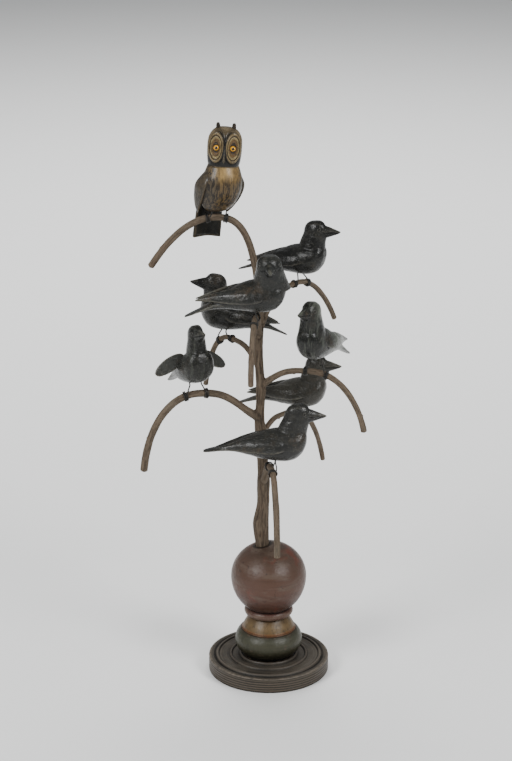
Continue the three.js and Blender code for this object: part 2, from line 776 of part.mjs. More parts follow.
/** The owl's head with its discs and bill, bored for the eyes and ears, before it is turned. */
function owlHead() {
  let head = joined([
    solidOf(loft(owlRings(owlHeadSections), owlSides)),
    solidOf(loft(owlRings(billSections), billSides)),
    facialDisc(1),
    facialDisc(-1),
  ]);
  for (const side of [-1, 1]) {
    head = head.subtract(solidOf(owlEyeBall(side, fitGap))).subtract(solidOf(earTuft(side, fitGap)));
  }
  return geometryOf(head);
}

const owlHeadFrame = new THREE.Matrix4()
  .makeTranslation(owlNeckAlong * owlPercent, 0, 0)
  .multiply(new THREE.Matrix4().makeRotationZ(radians(owlHeadTurn)));

/** The owl without its eyes and ear tufts, in its own frame: origin between its feet. */
function owlSolid() {
  let whole = joined([
    solidOf(loft(owlRings(owlBodySections), owlSides)),
    owlTailSolid(),
    owlWing(1),
    owlWing(-1),
    solidOf(owlHead().applyMatrix4(owlHeadFrame)),
  ]);
  for (const side of [-1, 1]) whole = whole.subtract(legSocket(owlLegAlong, side * owlLegSpread));
  return whole;
}

// Assembly

const black = 0x32342f;
const bark = 0x73624f;
const hand = (side) => (side > 0 ? 'left' : 'right');
const birdTree = new THREE.Group();

birdTree.add(piece('plinth_disc', plinthDisc(), 0x3b3733, 0.6));
birdTree.add(piece('turned_stand', turnedStand(), 0x5f413a, 0.5));
birdTree.add(piece('tree', tree(), bark, 0.8));

/** Adds a carving's two wire legs, each from the nearer foot on the branch. */
function addLegs(name, carving, frame, along, spread) {
  const { branch } = carving;
  const feet = feetOf(carving);
  const left = new THREE.Vector3(0, 1, 0).transformDirection(frame);
  const leftFootIsFar = curves[branch].getTangentAt(feet[0]).dot(left) > 0;
  for (const side of [-1, 1]) {
    const foot = feet[(side > 0) === leftFootIsFar ? 1 : 0];
    const mouth = new THREE.Vector3(along, side * spread, 0);
    const leg = wireLeg(branch, foot, frame, mouth);
    birdTree.add(piece(`${name}_leg_${hand(side)}`, leg, 0x2a2927, 0.55, 0.4));
  }
}

for (const [name, bird] of Object.entries(birds)) {
  const frame = perch(bird);
  let solid = birdSolid(bird);
  if (bird.spread) {
    for (const side of [-1, 1]) {
      solid = solid.subtract(solidOf(paddle(bird, side, fitGap)));
      const wing = piece(`spread_wing_${hand(side)}`, paddle(bird, side), black, 0.5);
      wing.applyMatrix4(frame);
      birdTree.add(wing);
    }
  }
  const mesh = piece(name, geometryOf(solid), black, 0.5);
  mesh.applyMatrix4(frame);
  birdTree.add(mesh);
  addLegs(name, bird, frame, 0, birdLegSpread);
}

const owlFrame = perch(owl);
const owlMesh = piece('owl', geometryOf(owlSolid()), 0x6d5a3c, 0.55);
owlMesh.applyMatrix4(owlFrame);
birdTree.add(owlMesh);
for (const side of [-1, 1]) {
  const eye = piece(`owl_eye_${hand(side)}`, owlEyeBall(side), 0xd9a21b, 0.08);
  const tuft = piece(`owl_ear_${hand(side)}`, earTuft(side), 0x26221e, 0.6);
  for (const part of [eye, tuft]) {
    part.applyMatrix4(owlFrame.clone().multiply(owlHeadFrame));
    birdTree.add(part);
  }
}
addLegs('owl', owl, owlFrame, owlLegAlong, owlLegSpread);

export default birdTree;
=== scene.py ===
"""Looks of the bird tree carving: painted turnings, bare sapling, owl and seven black birds.

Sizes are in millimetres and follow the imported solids; each finished mesh is in metres.
"""
import logging
import random
from dataclasses import dataclass, field
from enum import Enum
from functools import reduce
from math import acos, atan2, ceil, cos, degrees, dist, exp, hypot, pi, radians, sin, sqrt, tau
from typing import Any, Sequence

import bmesh
import bpy
import numpy as np
from mathutils import Matrix, Vector, noise


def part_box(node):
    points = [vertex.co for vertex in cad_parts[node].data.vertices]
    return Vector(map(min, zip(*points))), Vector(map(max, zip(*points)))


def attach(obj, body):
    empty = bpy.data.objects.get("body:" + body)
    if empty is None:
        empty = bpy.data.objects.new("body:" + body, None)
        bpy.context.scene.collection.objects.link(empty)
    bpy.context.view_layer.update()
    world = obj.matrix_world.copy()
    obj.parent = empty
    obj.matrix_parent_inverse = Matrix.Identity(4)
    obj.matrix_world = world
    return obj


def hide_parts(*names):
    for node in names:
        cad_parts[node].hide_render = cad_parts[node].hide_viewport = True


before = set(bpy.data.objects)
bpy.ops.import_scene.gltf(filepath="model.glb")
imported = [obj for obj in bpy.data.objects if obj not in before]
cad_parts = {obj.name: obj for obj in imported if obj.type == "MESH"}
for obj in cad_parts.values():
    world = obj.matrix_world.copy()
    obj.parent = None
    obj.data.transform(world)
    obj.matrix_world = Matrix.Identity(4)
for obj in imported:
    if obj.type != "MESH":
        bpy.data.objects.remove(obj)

LOG = logging.getLogger("bird_tree")
METRE = 0.001
SEED = 11
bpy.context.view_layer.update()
BODY = "root"
MOTTLE = (0.35, 0.65)
FAR = 1e9

Array = np.ndarray
BMesh = bmesh.types.BMesh
Material = bpy.types.Material
Mesh = bpy.types.Mesh
Colour = tuple[float, float, float]
Place = tuple[float, float, float]
Pair = tuple[float, float]
Shades = tuple[Colour, Colour]
Places = tuple[Place, ...]
Pairs = tuple[Pair, ...]
Sections = Sequence[tuple[float, ...]]
Ring = list[list[float]]


class Slot(Enum):
    """Material slots of the record."""

    PLINTH = "plinth_paint"
    STAND = "stand_paint"
    BARK = "bark"
    BIRD = "bird_paint"
    OWL = "owl_paint"
    EYE = "eye_glass"
    EAR = "ear_tuft"
    WIRE = "leg_wire"


class Side(Enum):
    """Left and right of a carving that faces +X."""

    LEFT = 1
    RIGHT = -1

    @property
    def word(self) -> str:
        """Name of the side as the nodes spell it."""
        return self.name.lower()


def linear(value: int) -> float:
    """Linear strength of one screen value from 0 to 255."""
    share = value / 255
    return share / 12.92 if share <= 0.04045 else ((share + 0.055) / 1.055) ** 2.4


def tone(red: int, green: int, blue: int) -> Colour:
    """Linear colour of a screen colour, as a shader takes it."""
    return linear(red), linear(green), linear(blue)


# Shader boards


class Signal:
    """A shader socket that takes part in Python sums."""

    def __init__(self, board: "Board", socket: Any) -> None:
        """Keeps the socket and the board that it is on."""
        self.board = board
        self.socket = socket

    def _math(self, operation: str, *values: Any) -> "Signal":
        """One Math node on one or two values."""
        return self.board.node("ShaderNodeMath", {"operation": operation}, dict(enumerate(values)))

    def __add__(self, other: Any) -> "Signal":
        """Sum of two values."""
        return self._math("ADD", self, other)

    __radd__ = __add__

    def __sub__(self, other: Any) -> "Signal":
        """Difference of two values."""
        return self._math("SUBTRACT", self, other)

    def __rsub__(self, other: Any) -> "Signal":
        """Difference from a plain number."""
        return self._math("SUBTRACT", other, self)

    def __mul__(self, other: Any) -> "Signal":
        """Product of two values."""
        return self._math("MULTIPLY", self, other)

    __rmul__ = __mul__

    def __truediv__(self, other: Any) -> "Signal":
        """Quotient of two values."""
        return self._math("DIVIDE", self, other)

    def most(self, other: Any) -> "Signal":
        """The larger of two values."""
        return self._math("MAXIMUM", self, other)

    def absolute(self) -> "Signal":
        """The value without its sign."""
        return self._math("ABSOLUTE", self)

    def sine(self) -> "Signal":
        """Sine of an angle."""
        return self._math("SINE", self)

    def span(self, low: float, high: float) -> "Signal":
        """Smooth share, 0 at the first value and 1 at the second, whichever is the larger."""
        ends = (self, low, high, 0.0, 1.0) if low <= high else (self, high, low, 1.0, 0.0)
        return self.board.node("ShaderNodeMapRange", {"interpolation_type": "SMOOTHSTEP"},
                               dict(enumerate(ends)))

    def band(self, middle: float, width: float) -> "Signal":
        """Smooth hump, 1 at the middle and 0 beyond the width."""
        return (self - middle).absolute().span(width, 0.0)


class Board:
    """The node tree of one material."""

    def __init__(self, name: str) -> None:
        """Starts a material with an empty tree.

        Args:
            name: Name of the material.
        """
        self.material = bpy.data.materials.new(name)
        self.material.use_nodes = True
        self.tree = self.material.node_tree
        self.tree.nodes.clear()

    def node(self, kind: str, settings: dict[str, Any] | None = None,
             values: dict[Any, Any] | None = None, output: Any = 0) -> Signal:
        """Adds a node: its settings first, then the values or links of its sockets.

        Args:
            kind: Blender's name of the node's type.
            settings: Properties of the node; "stops" are a ramp's places and colours.
            values: Socket names or numbers with plain values or signals.
            output: The output socket that the signal wraps.

        Returns:
            The signal of that output.
        """
        made = self.tree.nodes.new(kind)
        for key, value in (settings or {}).items():
            if key == "stops":
                self._stops(made.color_ramp, value)
            else:
                setattr(made, key, value)
        for key, value in (values or {}).items():
            socket = made.inputs[key]
            if isinstance(value, Signal):
                self.tree.links.new(value.socket, socket)
            elif isinstance(value, tuple) and len(value) == 3 and socket.type == "RGBA":
                socket.default_value = (*value, 1.0)
            else:
                socket.default_value = value
        return Signal(self, made.outputs[output])

    @staticmethod
    def _stops(ramp: Any, stops: Sequence[tuple[float, Colour]]) -> None:
        """Sets a ramp's stops in order.

        Args:
            ramp: The node's colour ramp.
            stops: Place and colour of each stop.
        """
        while len(ramp.elements) < len(stops):
            ramp.elements.new(1.0)
        for element, (place, colour) in zip(ramp.elements, stops):
            element.position = place
            element.color = (*colour, 1.0)

    def ramp(self, value: Signal, stops: Sequence[tuple[float, Colour]]) -> Signal:
        """Colour of a value by stops."""
        return self.node("ShaderNodeValToRGB", {"stops": stops}, {"Fac": value})

    def mix(self, share: Any, below: Any, above: Any) -> Signal:
        """Mixes two colours by the share of the upper one."""
        settings = {"data_type": "RGBA", "clamp_factor": True}
        return self.node("ShaderNodeMix", settings, {0: share, 6: below, 7: above}, 2)

    def coats(self, colour: Any, *coats: tuple[Any, Any]) -> Any:
        """A colour under coats, from the lowest up: how much of each shows, and its colour."""
        return reduce(lambda below, coat: self.mix(coat[0], below, coat[1]), coats, colour)

    def place(self) -> Signal:
        """Object coordinates, in metres."""
        return self.node("ShaderNodeTexCoord", output="Object")

    def field(self, name: str, part: str = "Fac") -> Signal:
        """A value kept on the mesh."""
        return self.node("ShaderNodeAttribute", {"attribute_name": name}, output=part)

    def fields(self, *names: str) -> list[Signal]:
        """Some numbers kept on the mesh."""
        return [self.field(name) for name in names]

    def scaled(self, vector: Signal, scale: Place) -> Signal:
        """A vector with each axis scaled."""
        return self.node("ShaderNodeMapping", None, {"Vector": vector, "Scale": scale})

    def parts(self, vector: Signal) -> list[Signal]:
        """The X, Y and Z of a vector."""
        outputs = self.node("ShaderNodeSeparateXYZ", None, {0: vector}).socket.node.outputs
        return [Signal(self, output) for output in outputs]

    def joined(self, *parts: Signal) -> Signal:
        """A vector of two or three numbers."""
        return self.node("ShaderNodeCombineXYZ", None, dict(enumerate(parts)))

    def length(self, first: Signal, second: Signal) -> Signal:
        """Distance from the origin of a flat place."""
        flat = self.joined(first, second)
        return self.node("ShaderNodeVectorMath", {"operation": "LENGTH"}, {0: flat}, "Value")

    def cloud(self, vector: Signal, scale: float, detail: float = 3.0, rough: float = 0.55,
              warp: float = 0.0) -> Signal:
        """Fractal noise, about 0.5 on average."""
        values = {"Vector": vector, "Scale": scale, "Detail": detail, "Roughness": rough, "Distortion": warp}
        return self.node("ShaderNodeTexNoise", None, values)

    def grain(self, vector: Signal, stretch: Place, detail: float = 3.0, rough: float = 0.6,
              warp: float = 0.0) -> Signal:
        """Fractal noise that is stretched along the vector's axes."""
        return self.cloud(self.scaled(vector, stretch), 1.0, detail, rough, warp)

    def cells(self, vector: Signal, scale: float, feature: str = "F1") -> Signal:
        """Distance in a pattern of scattered cells, to their points if nothing else is named."""
        return self.node("ShaderNodeTexVoronoi", {"feature": feature}, {"Vector": vector, "Scale": scale},
                         "Distance")

    def cracks(self, vector: Signal, scale: float) -> Signal:
        """Distance to the nearest crack of a crackled film."""
        return self.cells(vector, scale, "DISTANCE_TO_EDGE")

    def finish(self, colour: Any, rough: Any, *relief: tuple[Signal, float], **values: Any) -> Material:
        """Ends the tree in one Principled shader.

        Args:
            colour: Its base colour.
            rough: Its roughness.
            *relief: Height of each layer of relief and its depth in metres, from the lowest up.
            **values: Other sockets, with underscores for spaces.

        Returns:
            The material.
        """
        named = {key.replace("_", " "): value for key, value in values.items()}
        below: dict[str, Signal] = {}
        for height, depth in relief:
            layer = {"Height": height, "Distance": depth, **below}
            below = {"Normal": self.node("ShaderNodeBump", None, layer)}
        named |= {"Base Color": colour, "Roughness": rough, **below}
        shader = self.node("ShaderNodeBsdfPrincipled", None, named, "BSDF")
        end = self.tree.nodes.new("ShaderNodeOutputMaterial")
        self.tree.links.new(shader.socket, end.inputs["Surface"])
        return self.material


@dataclass(frozen=True)
class BlackPaint:
    """Old semi-gloss black on a carved bird, rubbed and dusted in its own way."""

    name: str
    rub: Colour = tone(92, 89, 79)
    rub_amount: float = 0.42
    brown: float = 0.3
    gloss: float = 0.2
    streaks: float = 0.0
    pale_back: float = 0.0
    base: Colour = tone(29, 30, 28)
    faded: Colour = tone(44, 44, 40)
    grain_line: Colour = tone(62, 59, 52)
    brown_wood: Colour = tone(74, 58, 42)
    # Pale chips of worn paint that also stand for painted highlights along the wings' edges.
    chip_and_glint: Colour = tone(90, 84, 72)
    streak: Colour = tone(98, 102, 92)
    dust: Colour = tone(104, 101, 90)
    crack: Colour = tone(13, 13, 12)
    # Painted shade laid in the carving's hollows.
    hollow_shade: Colour = tone(9, 9, 9)
    jaw: Colour = tone(16, 15, 15)
    mouth: Colour = tone(8, 8, 8)
    eye_ring: Colour = tone(86, 83, 74)
    pupil: Colour = tone(8, 8, 7)
    eye_place: Pair = (0.226, 0.396)
    eye_radius: float = 0.011
    ring_width: float = 0.006
    mouth_height: float = 0.3665
    mouth_slope: float = 0.05

    def material(self) -> Material:
        """Builds film, rubs, edge chips with painted highlights, painted shade in hollows, crackle, punched
        eye and mouth line.

        Returns:
            The material.
        """
        board = Board(self.name)
        place, own = board.place(), board.field("own", "Vector")
        worn, hollow, edge = board.fields("worn", "hollow", "edge")
        broad = board.cloud(place, 34, 4, 0.6)
        fine = board.cloud(place, 190, 4, 0.62)
        grain = board.grain(own, (5, 30, 26), 5, 0.62, 0.4)
        rubbed = (worn * 1.2 + grain * 0.9 + fine * 0.5 - 1.12).span(0.0, 0.55) * self.rub_amount
        # Chips along the wings' edges: partly worn-through paint, partly a painted highlight on those edges.
        edge_chips_and_glints = edge * (fine * 1.2 + worn - 0.62).span(0.0, 0.28)
        specks = board.cells(place, 460).span(0.34, 0.14) * fine.span(0.42, 0.6)
        crackle = board.cracks(place, 420).span(0.05, 0.0) * broad.span(0.42, 0.6)
        ring, pupil, mouth, jaw = self._face(board)
        coats = [(broad.span(0.35, 0.7) * 0.7, self.faded), (grain.span(0.52, 0.74) * 0.45, self.grain_line),
                 (broad.span(0.52, 0.68) * fine.span(*MOTTLE) * self.brown, self.brown_wood),
                 (rubbed, self.rub), (edge_chips_and_glints * 0.35, self.chip_and_glint)]
        if self.pale_back:
            coats.append((self._pale(own) * (0.45 + broad * 0.9) * self.pale_back, self.rub))
        if self.streaks:
            coats.append((self._streaks(board, own), self.streak))
        # The hollows are darkened as painted shade.
        coats += [(specks * 0.35, self.dust), (crackle * 0.55, self.crack), (hollow * 0.75, self.hollow_shade),
                  (jaw * 0.4, self.jaw), (mouth * 0.8, self.mouth), (ring * 0.4, self.eye_ring),
                  (pupil * 0.85, self.pupil)]
        rough = (self.gloss + fine * 0.18 + rubbed * 0.2 + hollow * 0.2 - worn * 0.06).most(0.16)
        return board.finish(board.coats(self.base, *coats), rough,
                            (board.grain(own, (14, 26, 26), 2, 0.5), 0.0007),
                            (fine - crackle * 0.5 - edge_chips_and_glints * 0.35, 0.0003),
                            (board.cloud(place, 620, 3, 0.65), 0.00022),
                            (ring - mouth * 1.2 - pupil * 0.4, 0.0005), Specular_IOR_Level=0.3)

    def _pale(self, own: Signal) -> Signal:
        """Mask of the bleached back and nape, weaker toward the tail's tip."""
        along, _, height = own.board.parts(own)
        return (along.span(0.06, -0.1).most(height.span(0.3, 0.42) * along.span(0.25, 0.16))
                * (0.35 + along.span(-0.42, -0.24) * 0.65))

    def _streaks(self, board: Board, own: Signal) -> Signal:
        """Pale strokes that run down the breast."""
        strokes = board.grain(own, (9, 62, 8), 3, 0.6, 0.3)
        return strokes.span(0.5, 0.64) * board.parts(own)[0].span(0.02, 0.14) * self.streaks

    def _face(self, board: Board) -> tuple[Signal, Signal, Signal, Signal]:
        """Marks of the face.

        Args:
            board: Its board.

        Returns:
            Masks of the eye's ring, its middle, the mouth line and the lower jaw.
        """
        along, out, height = board.parts(board.field("head", "Vector"))
        away = board.length(along - self.eye_place[0], height - self.eye_place[1])
        beside = out.absolute().span(0.02, 0.034)
        line = height - (self.mouth_height - (along - 0.25) * self.mouth_slope)
        front = along.span(0.235, 0.27)
        return (away.band(self.eye_radius, self.ring_width) * beside,
                away.span(self.eye_radius, 0.004) * beside,
                line.band(0.0, 0.0065) * front, line.span(0.0, -0.006) * front)


@dataclass(frozen=True)
class OwlPaint:
    """Varnished ochre, brown and black paint of the owl."""

    name: str = "owl paint"
    ochre: Colour = tone(150, 123, 76)
    brown_ochre: Colour = tone(112, 88, 52)
    umber: Colour = tone(60, 47, 30)
    flank_shade: Colour = tone(68, 60, 47)
    back: Colour = tone(70, 59, 42)
    dark_back: Colour = tone(42, 35, 26)
    stroke: Colour = tone(24, 19, 13)
    wing: Colour = tone(70, 61, 47)
    # Darker colour of the body's sides: painted side shade.
    dark_wing: Colour = tone(48, 41, 32)
    tail: Colour = tone(15, 14, 10)
    olive_tail: Colour = tone(30, 27, 19)
    tail_rub: Colour = tone(64, 56, 41)
    crown: Colour = tone(106, 92, 68)
    dark_crown: Colour = tone(80, 69, 50)
    stipple: Colour = tone(34, 28, 20)
    black: Colour = tone(17, 16, 13)
    slate: Colour = tone(84, 82, 74)
    hollow_shade: Colour = tone(20, 16, 11)
    rub: Colour = tone(126, 108, 76)
    disc_middle: Colour = tone(104, 80, 46)
    disc_ray: Colour = tone(66, 50, 30)
    fleck: Colour = tone(46, 36, 23)
    disc_rings: tuple[tuple[float, float, Colour], ...] = (
        (0.42, 0.3, tone(42, 32, 20)), (0.56, 0.61, tone(142, 125, 86)), (0.7, 0.74, tone(44, 34, 23)),
        (0.79, 0.82, tone(120, 104, 74)), (0.93, 0.97, tone(17, 16, 13)),
    )

    def material(self) -> Material:
        """Builds the coat by zones: face, crown, breast, wings and tail.

        Returns:
            The material.
        """
        board = Board(self.name)
        place, own = board.place(), board.field("own", "Vector")
        worn, hollow, bill = board.fields("worn", "hollow", "bill")
        fine = board.cloud(place, 230, 4, 0.6)
        broad = board.cloud(place, 60, 4, 0.6)
        face, rings = self._face(board, fine)
        crackle = board.cracks(place, 520).span(0.045, 0.0) * broad.span(0.45, 0.6)
        colour = board.coats(
            self._breast(board, own, fine, broad),
            (board.field("wing"), self._wing(own, fine)),
            (board.field("tail"), self._tail(board, own, fine, worn)),
            (board.field("crown"), self._crown(board, own, fine, broad)),
            (board.field("disc", "Alpha"), face),
            (bill, board.mix(board.field("ridge") * fine.span(0.3, 0.6), self.black, self.slate)),
            (board.field("groove") * 0.7, self.black),
            # The hollows are darkened as painted shade.
            (hollow * 0.7, self.hollow_shade),
            ((worn + fine * 0.8 - 0.72).span(0.0, 0.5) * 0.22, self.rub),
            (crackle * 0.35, self.black))
        return board.finish(colour, 0.3 + fine * 0.2 + hollow * 0.2, (fine - crackle * 0.6, 0.0004),
                            (rings, 0.0006), Specular_IOR_Level=0.28, Coat_Weight=0.12, Coat_Roughness=0.18)

    def _breast(self, board: Board, own: Signal, fine: Signal, broad: Signal) -> Signal:
        """Gold upper breast, with dark upright streaks below and beside it, and its sides darkened as painted
        shade.

        Args:
            board: Its board.
            own: Places, in shares of its height.
            fine: Fine noise.
            broad: Broad noise.

        Returns:
            The colour of breast and back.
        """
        along, out, height = board.parts(own)
        # The body's sides are darkened as painted shade; the streaks also grow there.
        shaded_sides = out.absolute().span(0.09, 0.17)
        low = (height + (broad - 0.5) * 0.16).span(0.47, 0.33)
        strokes = board.grain(own, (34, 46, 7), 3, 0.6, 0.6)
        streak = strokes.span(0.45, 0.54) * (0.26 + low.most(shaded_sides) * 0.74)
        back = board.mix(fine.span(*MOTTLE), self.back, self.dark_back)
        return board.coats(self.ochre, (broad.span(*MOTTLE) * 0.7, self.brown_ochre), (low * 0.8, self.umber),
                           (shaded_sides * 0.75, self.flank_shade), (along.span(0.03, -0.06), back),
                           (streak * 0.9, self.stroke))

    def _wing(self, own: Signal, fine: Signal) -> Signal:
        """Grey-brown wing with dark strokes toward its tip."""
        dark = (own.board.grain(own, (40, 30, 6), 3, 0.6, 0.5).span(0.46, 0.6)
                * (0.25 + own.board.parts(own)[2].span(0.36, 0.1) * 0.75))
        return own.board.coats(self.wing, (fine.span(*MOTTLE), self.dark_wing), (dark * 0.9, self.black))

    def _tail(self, board: Board, own: Signal, fine: Signal, worn: Signal) -> Signal:
        """Olive-black tail panel with rubbed rims."""
        return board.coats(self.tail, (board.grain(own, (20, 46, 5)).span(0.4, 0.66), self.olive_tail),
                           ((worn * fine * 2.0).span(0.2, 0.9) * 0.2, self.tail_rub))

    def _crown(self, board: Board, own: Signal, fine: Signal, broad: Signal) -> Signal:
        """Grey-brown stippled head."""
        dots = board.cells(board.scaled(own, (1, 1, 0.7)), 62).span(0.5, 0.2) * fine.span(0.3, 0.6) * 0.8
        return board.coats(self.crown, (broad.span(*MOTTLE), self.dark_crown), (dots, self.stipple))

    def _face(self, board: Board, fine: Signal) -> tuple[Signal, Signal]:
        """Rings of the facial discs and their relief.

        Args:
            board: Its board.
            fine: Fine noise.

        Returns:
            The discs' colour and the height of their rings.
        """
        disc = board.field("disc", "Vector")
        first, second, _ = board.parts(disc)
        away = board.length(first, second) + (fine - 0.5) * 0.07
        rays = board.grain(disc, (9, 9, 0), 4, 0.7)
        colour = board.coats(self.disc_middle, (rays.span(0.42, 0.6), self.disc_ray),
                             *((away.span(start, full), shade) for start, full, shade in self.disc_rings),
                             (fine.span(0.52, 0.62) * 0.6, self.fleck))
        return colour, away.band(0.65, 0.06) + away.band(0.87, 0.07) - away.band(0.76, 0.05)


@dataclass(frozen=True)
class Bark:
    """Dry taupe bark with lengthwise streaks and pale cut ends."""

    name: str = "sapling bark"
    twig: Shades = (tone(54, 46, 38), tone(93, 81, 68))
    stem: Shades = (tone(46, 38, 31), tone(88, 76, 63))
    end_wood: Shades = (tone(134, 112, 82), tone(98, 78, 55))
    russet: Colour = tone(76, 57, 46)
    lichen: Colour = tone(98, 93, 84)
    crevice: Colour = tone(33, 27, 22)
    rub: Colour = tone(120, 107, 90)
    hollow_shade: Colour = tone(31, 25, 20)

    def material(self) -> Material:
        """Builds the bark along the grain that the mesh keeps.

        Returns:
            The material.
        """
        board = Board(self.name)
        grain, place = board.field("grain", "Vector"), board.place()
        worn, hollow, trunk, cut = board.fields("worn", "hollow", "trunk", "cut")
        long = board.grain(grain, (0.42, 0.42, 0.05), 5, 0.65, 0.5)
        short = board.grain(grain, (1.1, 1.1, 0.22), 4, 0.7)
        blotch = board.cloud(place, 26, 4, 0.6)
        specks = board.cloud(place, 800, 3, 0.6)
        colour = board.coats(
            board.mix(long.span(0.34, 0.64), *self.twig),
            (trunk, board.mix(long.span(0.34, 0.66), *self.stem)),
            (blotch.span(0.5, 0.7) * 0.45, self.russet), (blotch.span(0.44, 0.3) * 0.35, self.lichen),
            (short.span(0.6, 0.72) * 0.6, self.crevice), (worn * short.span(0.35, 0.6) * 0.5, self.rub),
            # The hollows are darkened as painted shade.
            (hollow * 0.6, self.hollow_shade), (cut, board.mix(specks.span(0.4, 0.65), *self.end_wood)))
        return board.finish(colour, 0.62 + short * 0.24, (long, 0.0009), (short, 0.0004),
                            Specular_IOR_Level=0.16)


@dataclass(frozen=True)
class StandPaint:
    """Oxblood ball and ring, ochre neck and olive bulb, worn through in places."""

    name: str = "stand paint"
    low: float = 19.0
    high: float = 170.0
    # The ramp paints shade: the bulb and the ball darken below their widest parts, and the narrow dark bands
    # under the ring and in the groove under the ball are painted shade; the foot's cove is near black.
    # height, red, green, blue
    zones: Sections = (
        (19.0, 12, 11, 10), (25.4, 14, 12, 10), (26.5, 24, 22, 13),
        (33.0, 31, 30, 19), (38.0, 46, 45, 32), (46.0, 58, 57, 44),
        (52.0, 55, 55, 43), (55.6, 44, 42, 31), (56.3, 34, 24, 13),
        (57.0, 104, 66, 33), (57.8, 46, 31, 17), (58.6, 104, 68, 35),
        (59.8, 86, 68, 43), (66.0, 98, 80, 53), (73.0, 74, 57, 36),
        (75.2, 28, 18, 14), (77.0, 64, 39, 32), (84.5, 66, 40, 33),
        (85.9, 20, 14, 11), (88.5, 48, 30, 24), (105.0, 70, 45, 36),
        (120.0, 78, 54, 43), (150.0, 72, 54, 44), (168.0, 56, 45, 38),
    )
    neck_streak: Colour = tone(62, 46, 27)
    low_streak: Colour = tone(30, 27, 18)
    haze: Colour = tone(88, 76, 66)
    red: Colour = tone(92, 46, 35)
    lathe_line: Colour = tone(52, 36, 29)
    blot: Colour = tone(33, 23, 19)
    scuff: Colour = tone(116, 99, 82)
    hollow_shade: Colour = tone(16, 12, 10)
    socket: Colour = tone(18, 14, 12)
    socket_side: float = -0.0081

    def material(self) -> Material:
        """Builds the paint by height, with painted shade low on the bulb and ball and under the ring,
        streaks, rubs, grey haze and painted shade in hollows.

        Returns:
            The material.
        """
        board = Board(self.name)
        place = board.place()
        first, second, height = board.parts(place)
        worn, hollow = board.fields("worn", "hollow")
        fine = board.cloud(place, 170, 5, 0.62)
        broad = board.cloud(place, 26, 4, 0.6)
        upright = board.grain(place, (260, 260, 16), 4)
        lathe = board.grain(place, (14, 14, 700))
        smear = board.grain(place, (30, 30, 90), 4, 0.62, 0.6)
        whole = self.high - self.low
        share = (height / METRE + (fine - 0.5) * 1.0 - self.low) / whole
        ball = height.span(0.074, 0.077)
        neck = height.span(0.0585, 0.061) * height.span(0.0755, 0.0735)
        mouth = board.length(first - self.socket_side, second).span(0.0135, 0.0105) * height.span(0.15, 0.155)
        colour = board.coats(
            board.ramp(share, [((level - self.low) / whole, tone(*shade)) for level, *shade in self.zones]),
            (neck * upright.span(0.42, 0.7) * 0.55, self.neck_streak),
            ((1 - ball) * upright.span(0.56, 0.68) * 0.4, self.low_streak),
            (smear.span(0.45, 0.68) * ball * 0.5, self.haze),
            (broad.span(0.46, 0.32) * ball * 0.6, self.red),
            (lathe.span(0.52, 0.7) * ball * 0.4, self.lathe_line),
            (fine.span(0.6, 0.7) * 0.55, self.blot),
            ((worn * 0.55 + fine * 0.9 + lathe * 0.4 - 1.0).span(0.0, 0.4) * 0.4, self.scuff),
            # The hollows are darkened as painted shade.
            (hollow * 0.8, self.hollow_shade), (mouth * 0.85, self.socket))
        return board.finish(colour, 0.29 + fine * 0.2 + hollow * 0.25, (lathe * 0.5 + fine, 0.0004),
                            (broad, 0.0012), Specular_IOR_Level=0.3)


@dataclass(frozen=True)
class PlinthPaint:
    """Brown-black paint of the disc, grey where hands wore it."""

    name: str = "plinth paint"
    reed_foot: float = 2.39
    reed_pitch: float = 3.16
    lathe_scale: float = 900.0
    film: Shades = (tone(44, 41, 37), tone(62, 57, 50))
    brown: Colour = tone(60, 51, 42)
    lathe_line: Colour = tone(82, 77, 69)
    rub: Colour = tone(86, 77, 68)
    side: Colour = tone(50, 40, 31)
    # Painted shade for the reeds' grooves, then painted highlight for their crests.
    groove: Colour = tone(16, 14, 12)
    crest: Colour = tone(104, 94, 78)
    # Pale rim edge: edge wear with a painted highlight along the rim's top edge.
    edge: Colour = tone(112, 102, 90)
    hollow_shade: Colour = tone(13, 12, 11)
    # Painted shade round the seat where the stand's bulb rests.
    seat: Colour = tone(14, 13, 13)

    def material(self) -> Material:
        """Builds the paint with lathe rings, reeds and worn edges, with painted shade in the reeds' grooves,
        in hollows and round the stand's seat, and painted highlights on the reeds' crests and the rim's top
        edge.

        Returns:
            The material.
        """
        board = Board(self.name)
        place = board.place()
        first, second, height = board.parts(place)
        reach = board.length(first, second)
        worn, hollow = board.fields("worn", "hollow")
        fine = board.cloud(place, 210, 5, 0.62)
        broad = board.cloud(place, 30, 4, 0.6)
        rings = board.joined(reach * self.lathe_scale, height * self.lathe_scale, broad * 2)
        lathe = board.cloud(rings, 1.0, 2, 0.6)
        side = reach.span(0.0722, 0.0738) * height.span(0.0185, 0.0172)
        # The reeds' grooves are darkened as painted shade and their crests lightened as painted highlight.
        wave = ((height / METRE - self.reed_foot) * (tau / self.reed_pitch)).sine()
        # The rim's top edge is paled: partly edge wear, partly a painted highlight.
        edge = reach.span(0.0722, 0.0734) * height.span(0.0172, 0.0184) * fine.span(0.35, 0.6)
        # A ring of painted shade round the stand's seat.
        seat = reach.band(0.0335, 0.0035)
        colour = board.coats(
            self.film[0], (broad.span(*MOTTLE), self.film[1]), (fine.span(0.5, 0.68) * 0.5, self.brown),
            (lathe.span(0.48, 0.62) * 0.5, self.lathe_line),
            ((worn * 0.8 + fine * 0.9 - 0.82).span(0.0, 0.5) * 0.5, self.rub), (side * 0.3, self.side),
            (side * wave.span(-0.45, -0.95) * 0.75, self.groove),
            (side * wave.span(0.3, 0.95) * 0.35, self.crest),
            # The hollows are darkened as painted shade.
            (edge * 0.5, self.edge), (hollow * 0.8, self.hollow_shade), (seat * 0.85, self.seat))
        return board.finish(colour, (0.36 + fine * 0.2 - seat * 0.26).most(0.14),
                            (lathe * 0.6 + fine, 0.0004), Specular_IOR_Level=0.26)


